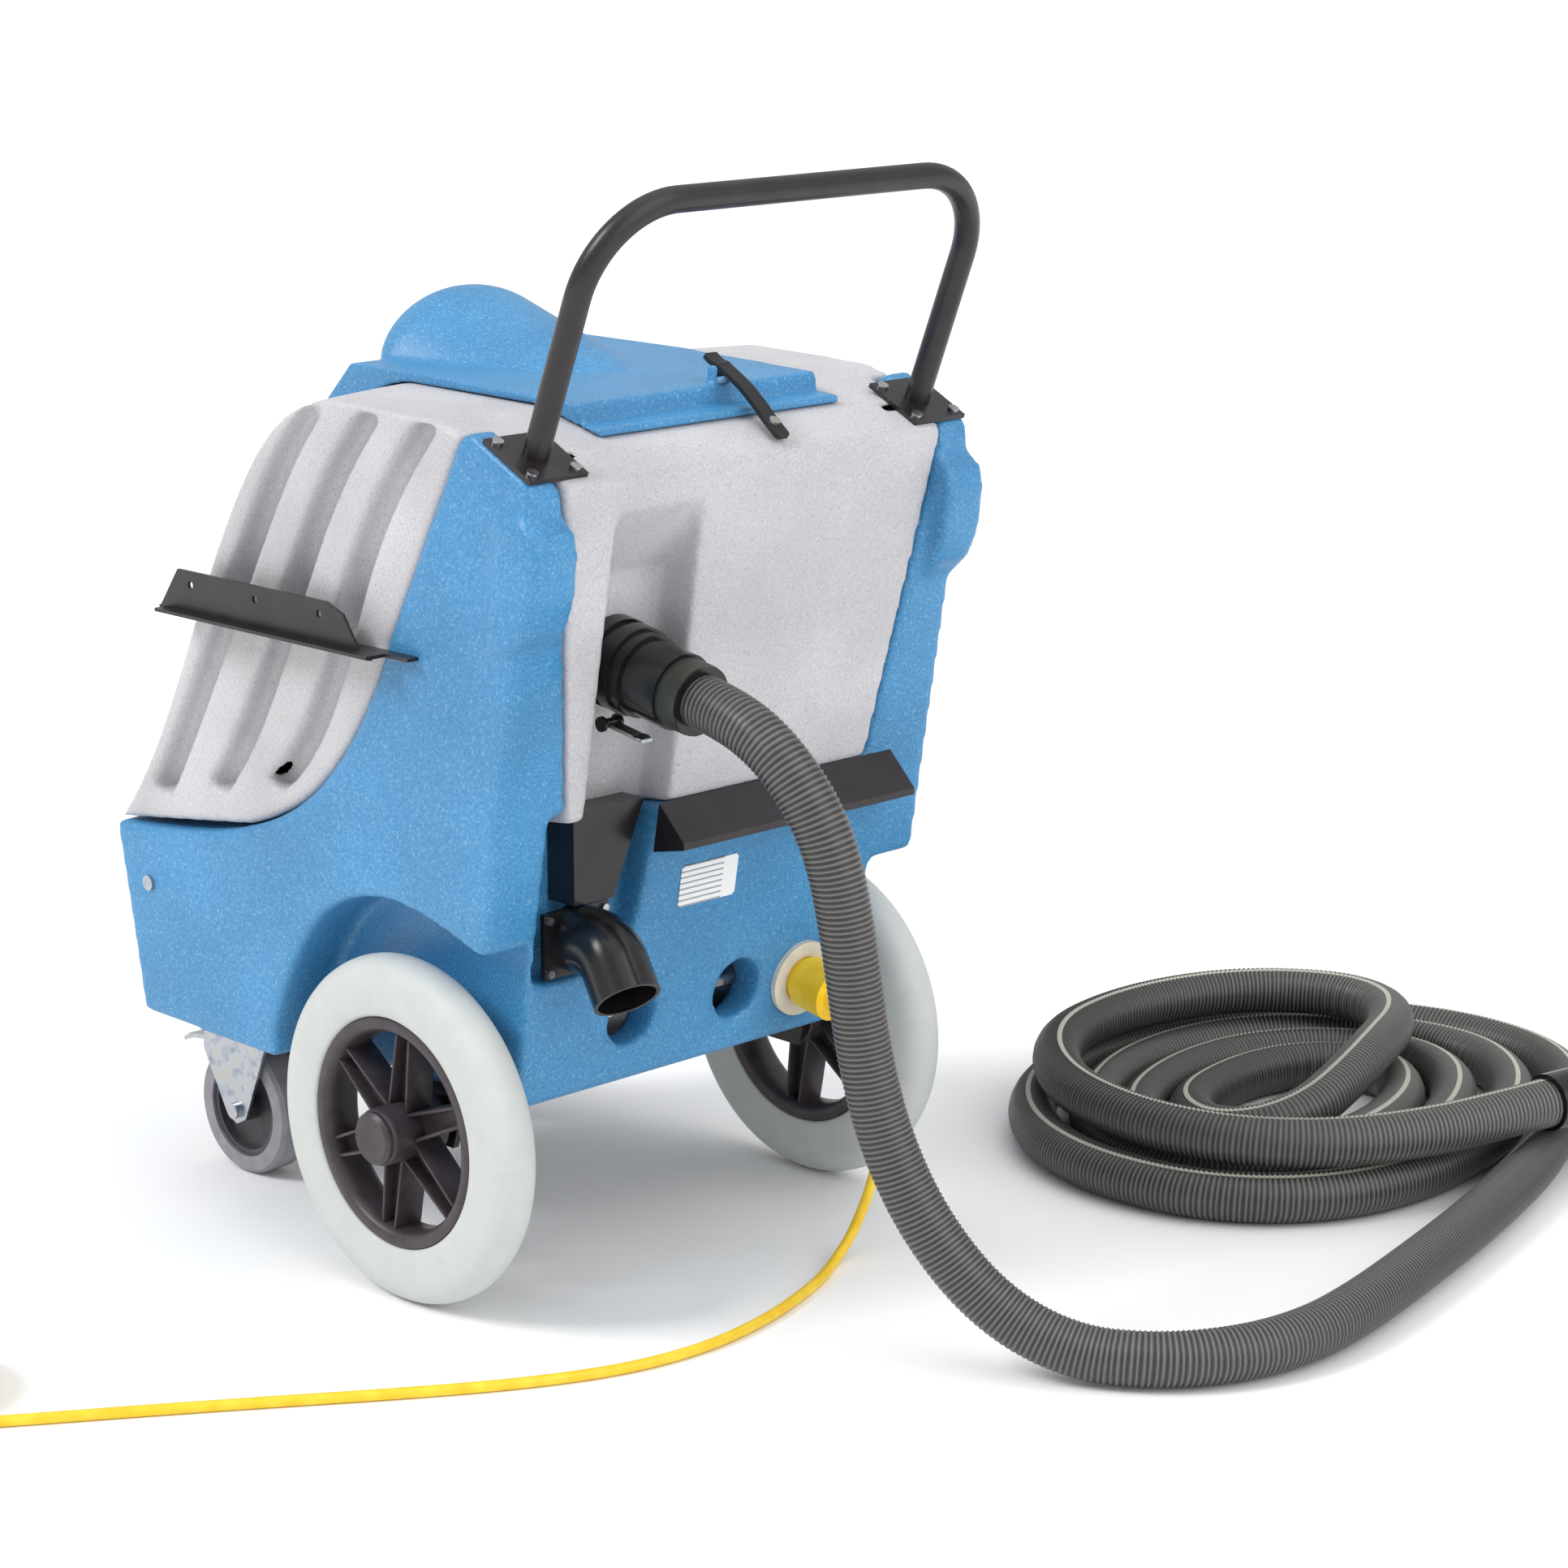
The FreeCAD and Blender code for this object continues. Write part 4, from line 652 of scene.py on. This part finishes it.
# %% Strap, sleeve, plate and small parts
def strip(name, line, half_width, thickness, middle_x):
    """A strap of even thickness that follows a (y, z) line at one x, its edges rounded."""
    mesh = bmesh.new()
    spots = [Vector((middle_x, y, z)) for y, z in line]
    rows = []
    for i, spot in enumerate(spots):
        ahead = spots[min(i + 1, len(spots) - 1)] - spots[max(i - 1, 0)]
        lift = Vector((0, -ahead.z, ahead.y)).normalized() * thickness / 2
        narrow = half_width * (0.72 if i in (0, len(spots) - 1) else 1)
        rows.append([mesh.verts.new(spot + Vector((x, 0, 0)) + up)
                     for x, up in ((-narrow, -lift), (narrow, -lift), (narrow, lift), (-narrow, lift))])
    for near, far in zip(rows, rows[1:]):
        for k in range(4):
            mesh.faces.new((near[k], near[(k + 1) % 4], far[(k + 1) % 4], far[k]))
    mesh.faces.new(rows[0])
    mesh.faces.new(rows[-1])
    edges = [e for e in mesh.edges if e.calc_face_angle(0) > 0.9]
    bmesh.ops.bevel(mesh, geom=edges, offset=0.0008, segments=2, affect="EDGES", profile=0.6)
    return finished_mesh(mesh, name, (0, 0, 0))


def smooth_line(points, steps=6):
    """Points on a smooth line through the given ones."""
    full = [points[0], *points, points[-1]]
    line = []
    for a, b, c, d in zip(full, full[1:], full[2:], full[3:]):
        for step in range(steps):
            t = step / steps
            line.append(tuple(0.5 * (2 * q + (r - p) * t + (2 * p - 5 * q + 4 * r - s) * t * t
                                     + (3 * q - p - 3 * r + s) * t ** 3) for p, q, r, s in zip(a, b, c, d)))
    return line + [points[-1]]


low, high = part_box("latch_strap")
strap_x = (low[0] + high[0]) / 2
STRAP_LINE = [(high[1] - 0.0025, high[2] - 0.003), (high[1] - 0.009, high[2] - 0.0075),
              (high[1] - 0.019, high[2] - 0.0115), (-0.212, 0.7852), (-0.232, 0.7738), (-0.250, 0.7600),
              (-0.262, 0.7490), (-0.2795, 0.7352)]
strap = strip("latch_strap_curled", smooth_line(STRAP_LINE), 0.0072, 0.0042, strap_x)
strap.data.materials.append(black_rubber)
pivot = spun("latch_strap_eye", [(0.0031, -0.0075), (0.0056, -0.0075), (0.0064, -0.0066), (0.0064, 0.0066),
                                 (0.0056, 0.0075), (0.0031, 0.0075)], (strap_x, -0.205, 0.785), 48)
pivot.data.materials.append(black_rubber)
for piece in (strap, pivot):
    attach(piece, "latch")
    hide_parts("latch_strap")

OUT = Vector((0, -0.9855, -0.1695))
sleeve_turn = Vector((1, 0, 0)).rotation_difference(OUT).to_matrix()
COUPLER_END = Vector((-0.112, -0.328, 0.54))
sleeve = spun("coupler_sleeve", [(0.0238, -0.024), (0.0300, -0.024), (0.0306, -0.0226), (0.0306, -0.0030),
                                 (0.0298, -0.0010), (0.0272, -0.0003), (0.0238, -0.0003)], (0, 0, 0), 96)
sleeve.data.transform(Matrix.Translation(COUPLER_END) @ sleeve_turn.to_4x4())
olive_rubber = moulded_skin("olive soft vinyl", "#2D3027", "#3A3D32", 0.45, 1.0, 0.2)
sleeve.data.materials.append(olive_rubber)
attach(sleeve, "root")

PLATE_SIZE, PLATE_LEAN, PLATE_MIDDLE = (0.067, 0.0008, 0.0385), 0.1704, (-0.0045, -0.2222, 0.349)
plate = bmesh.new()
bmesh.ops.create_cube(plate, size=1.0)
bmesh.ops.scale(plate, verts=plate.verts, vec=PLATE_SIZE)
bmesh.ops.bevel(plate, geom=[e for e in plate.edges if abs(e.verts[0].co.y - e.verts[1].co.y) > 0.0005],
                offset=0.002, segments=3, affect="EDGES")
bmesh.ops.rotate(plate, verts=plate.verts, cent=(0, 0, 0), matrix=Matrix.Rotation(PLATE_LEAN, 3, "X"))
data_plate = finished_mesh(plate, "data_plate", PLATE_MIDDLE)
plate_print, tree, shader = new_material("printed polyester film", Roughness=0.3)
at = place_of(tree)
spots = add_node(tree, "ShaderNodeSeparateXYZ", links={"Vector": at})
rules = add_node(tree, "ShaderNodeMath", {"operation": "MULTIPLY"}, {1: 190.0}, {0: spots.outputs["Z"]})
bands = add_node(tree, "ShaderNodeMath", {"operation": "FRACT"}, links={0: rules.outputs[0]})
on_rule = add_node(tree, "ShaderNodeMath", {"operation": "GREATER_THAN"}, {1: 0.7}, {0: bands.outputs[0]})
left_half = add_node(tree, "ShaderNodeMapRange", {"interpolation_type": "LINEAR"},
                     {1: 0.012, 2: 0.0121, 3: 1.0, 4: 0.0}, {0: spots.outputs["X"]})
inked = add_node(tree, "ShaderNodeMath", {"operation": "MULTIPLY"},
                 links={0: on_rule.outputs[0], 1: left_half.outputs[0]})
plate_tone = ramp(tree, inked.outputs[0], [(0.0, "#F1F3F5"), (1.0, "#9FA4AA")])
tree.links.new(plate_tone.outputs["Color"], shader.inputs["Base Color"])
data_plate.data.materials.append(plate_print)
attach(data_plate, "root")

deselect()
for piece in (strap, pivot, sleeve, data_plate):
    piece.select_set(True)
bpy.context.view_layer.objects.active = strap
bpy.ops.object.shade_smooth_by_angle(angle=math.radians(40))

# %% [markdown]
# The hose latch ends in a small closed loop of bright wire, which a finger pulls.  A wire is the same
# thickness all the way, so it is a curve with a round bevel.

# %% Wire loop
def bent_wire(name, points, radius, closed, finish):
    """A round wire drawn through points."""
    curve = bpy.data.curves.new(name, "CURVE")
    curve.dimensions = "3D"
    curve.resolution_u = 10
    spline = curve.splines.new("BEZIER")
    spline.bezier_points.add(len(points) - 1)
    for control, point in zip(spline.bezier_points, points):
        control.co = point
        control.handle_left_type = "AUTO"
        control.handle_right_type = "AUTO"
    spline.use_cyclic_u = closed
    curve.bevel_depth = radius
    curve.bevel_resolution = 3
    curve.use_fill_caps = True
    curve.materials.append(finish)
    made = bpy.data.objects.new(name, curve)
    bpy.context.collection.objects.link(made)
    return made


low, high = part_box("hose_latch_lever")
tip = Vector(((low[0] + high[0]) / 2, low[1], low[2]))
loop = bent_wire("hose_latch_loop", [
    tip + Vector((-0.0055, 0.010, 0.004)), tip + Vector((-0.0058, 0.004, 0.0028)),
    tip + Vector((0, 0.0012, 0.0022)), tip + Vector((0.0058, 0.004, 0.0028)),
    tip + Vector((0.0055, 0.010, 0.004)), tip + Vector((0, 0.0118, 0.0046))], 0.0011, True, zinc)
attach(loop, "hose_latch")


# %% [markdown]
# The pieces that the engineering model already has right keep their shape and take their finish here.

# %% Finishes of the engineering pieces
FINISHES = {
    powder_coat: ["push_handle", "accessory_bracket", "axle_bracket", "caster_rail", "support_shelf"],
    black_abs: ["hose_coupler", "inlet_spigot", "drain_valve_body", "drain_elbow", "hose_end_cuff",
                "switch_panel", "hinge_leaf_lid", "hinge_leaf_tank", "switch_pump", "switch_vacuum_one",
                "switch_vacuum_two"],
    hub_nylon: ["hub_left", "hub_right", "hub_cap_left", "hub_cap_right", "hub_bush_left", "hub_bush_right"],
    tyre_rubber: ["tyre_left", "tyre_right"],
    tread_rubber: ["caster_tread_left", "caster_tread_right"],
    zinc: ["caster_plate_left", "caster_plate_right", "caster_fork_left", "caster_fork_right",
           "caster_bolts_left", "caster_bolts_right", "brake_pedal_left", "brake_pedal_right",
           "handle_screws",
           "case_screws", "latch_button", "hinge_pin", "rear_axle", "hose_latch_lever", "motor_deck"],
    dark_nylon: ["caster_core_left", "caster_core_right", "vacuum_standpipe", "float_ball"],
    black_rubber: ["latch_strap", "lid_gasket"],
    yellow_vinyl: ["lead_connector", "lead_plug", "power_lead", "lead_coil"],
    ivory_nylon: ["power_inlet"],
    cast_metal: ["vacuum_motors", "solution_pump"],
    brass: ["solution_outlet"],
    blue_poly: ["solution_tank", "recovery_lid"],
    grey_poly: ["recovery_tank"],
    hose_vinyl: ["vacuum_hose", "hose_coil"],
}
for material, names in FINISHES.items():
    for name in names:
        slots = nodes[name].data.materials
        slots.clear()
        slots.append(material)
print("finished pieces:", sum(len(names) for names in FINISHES.values()))
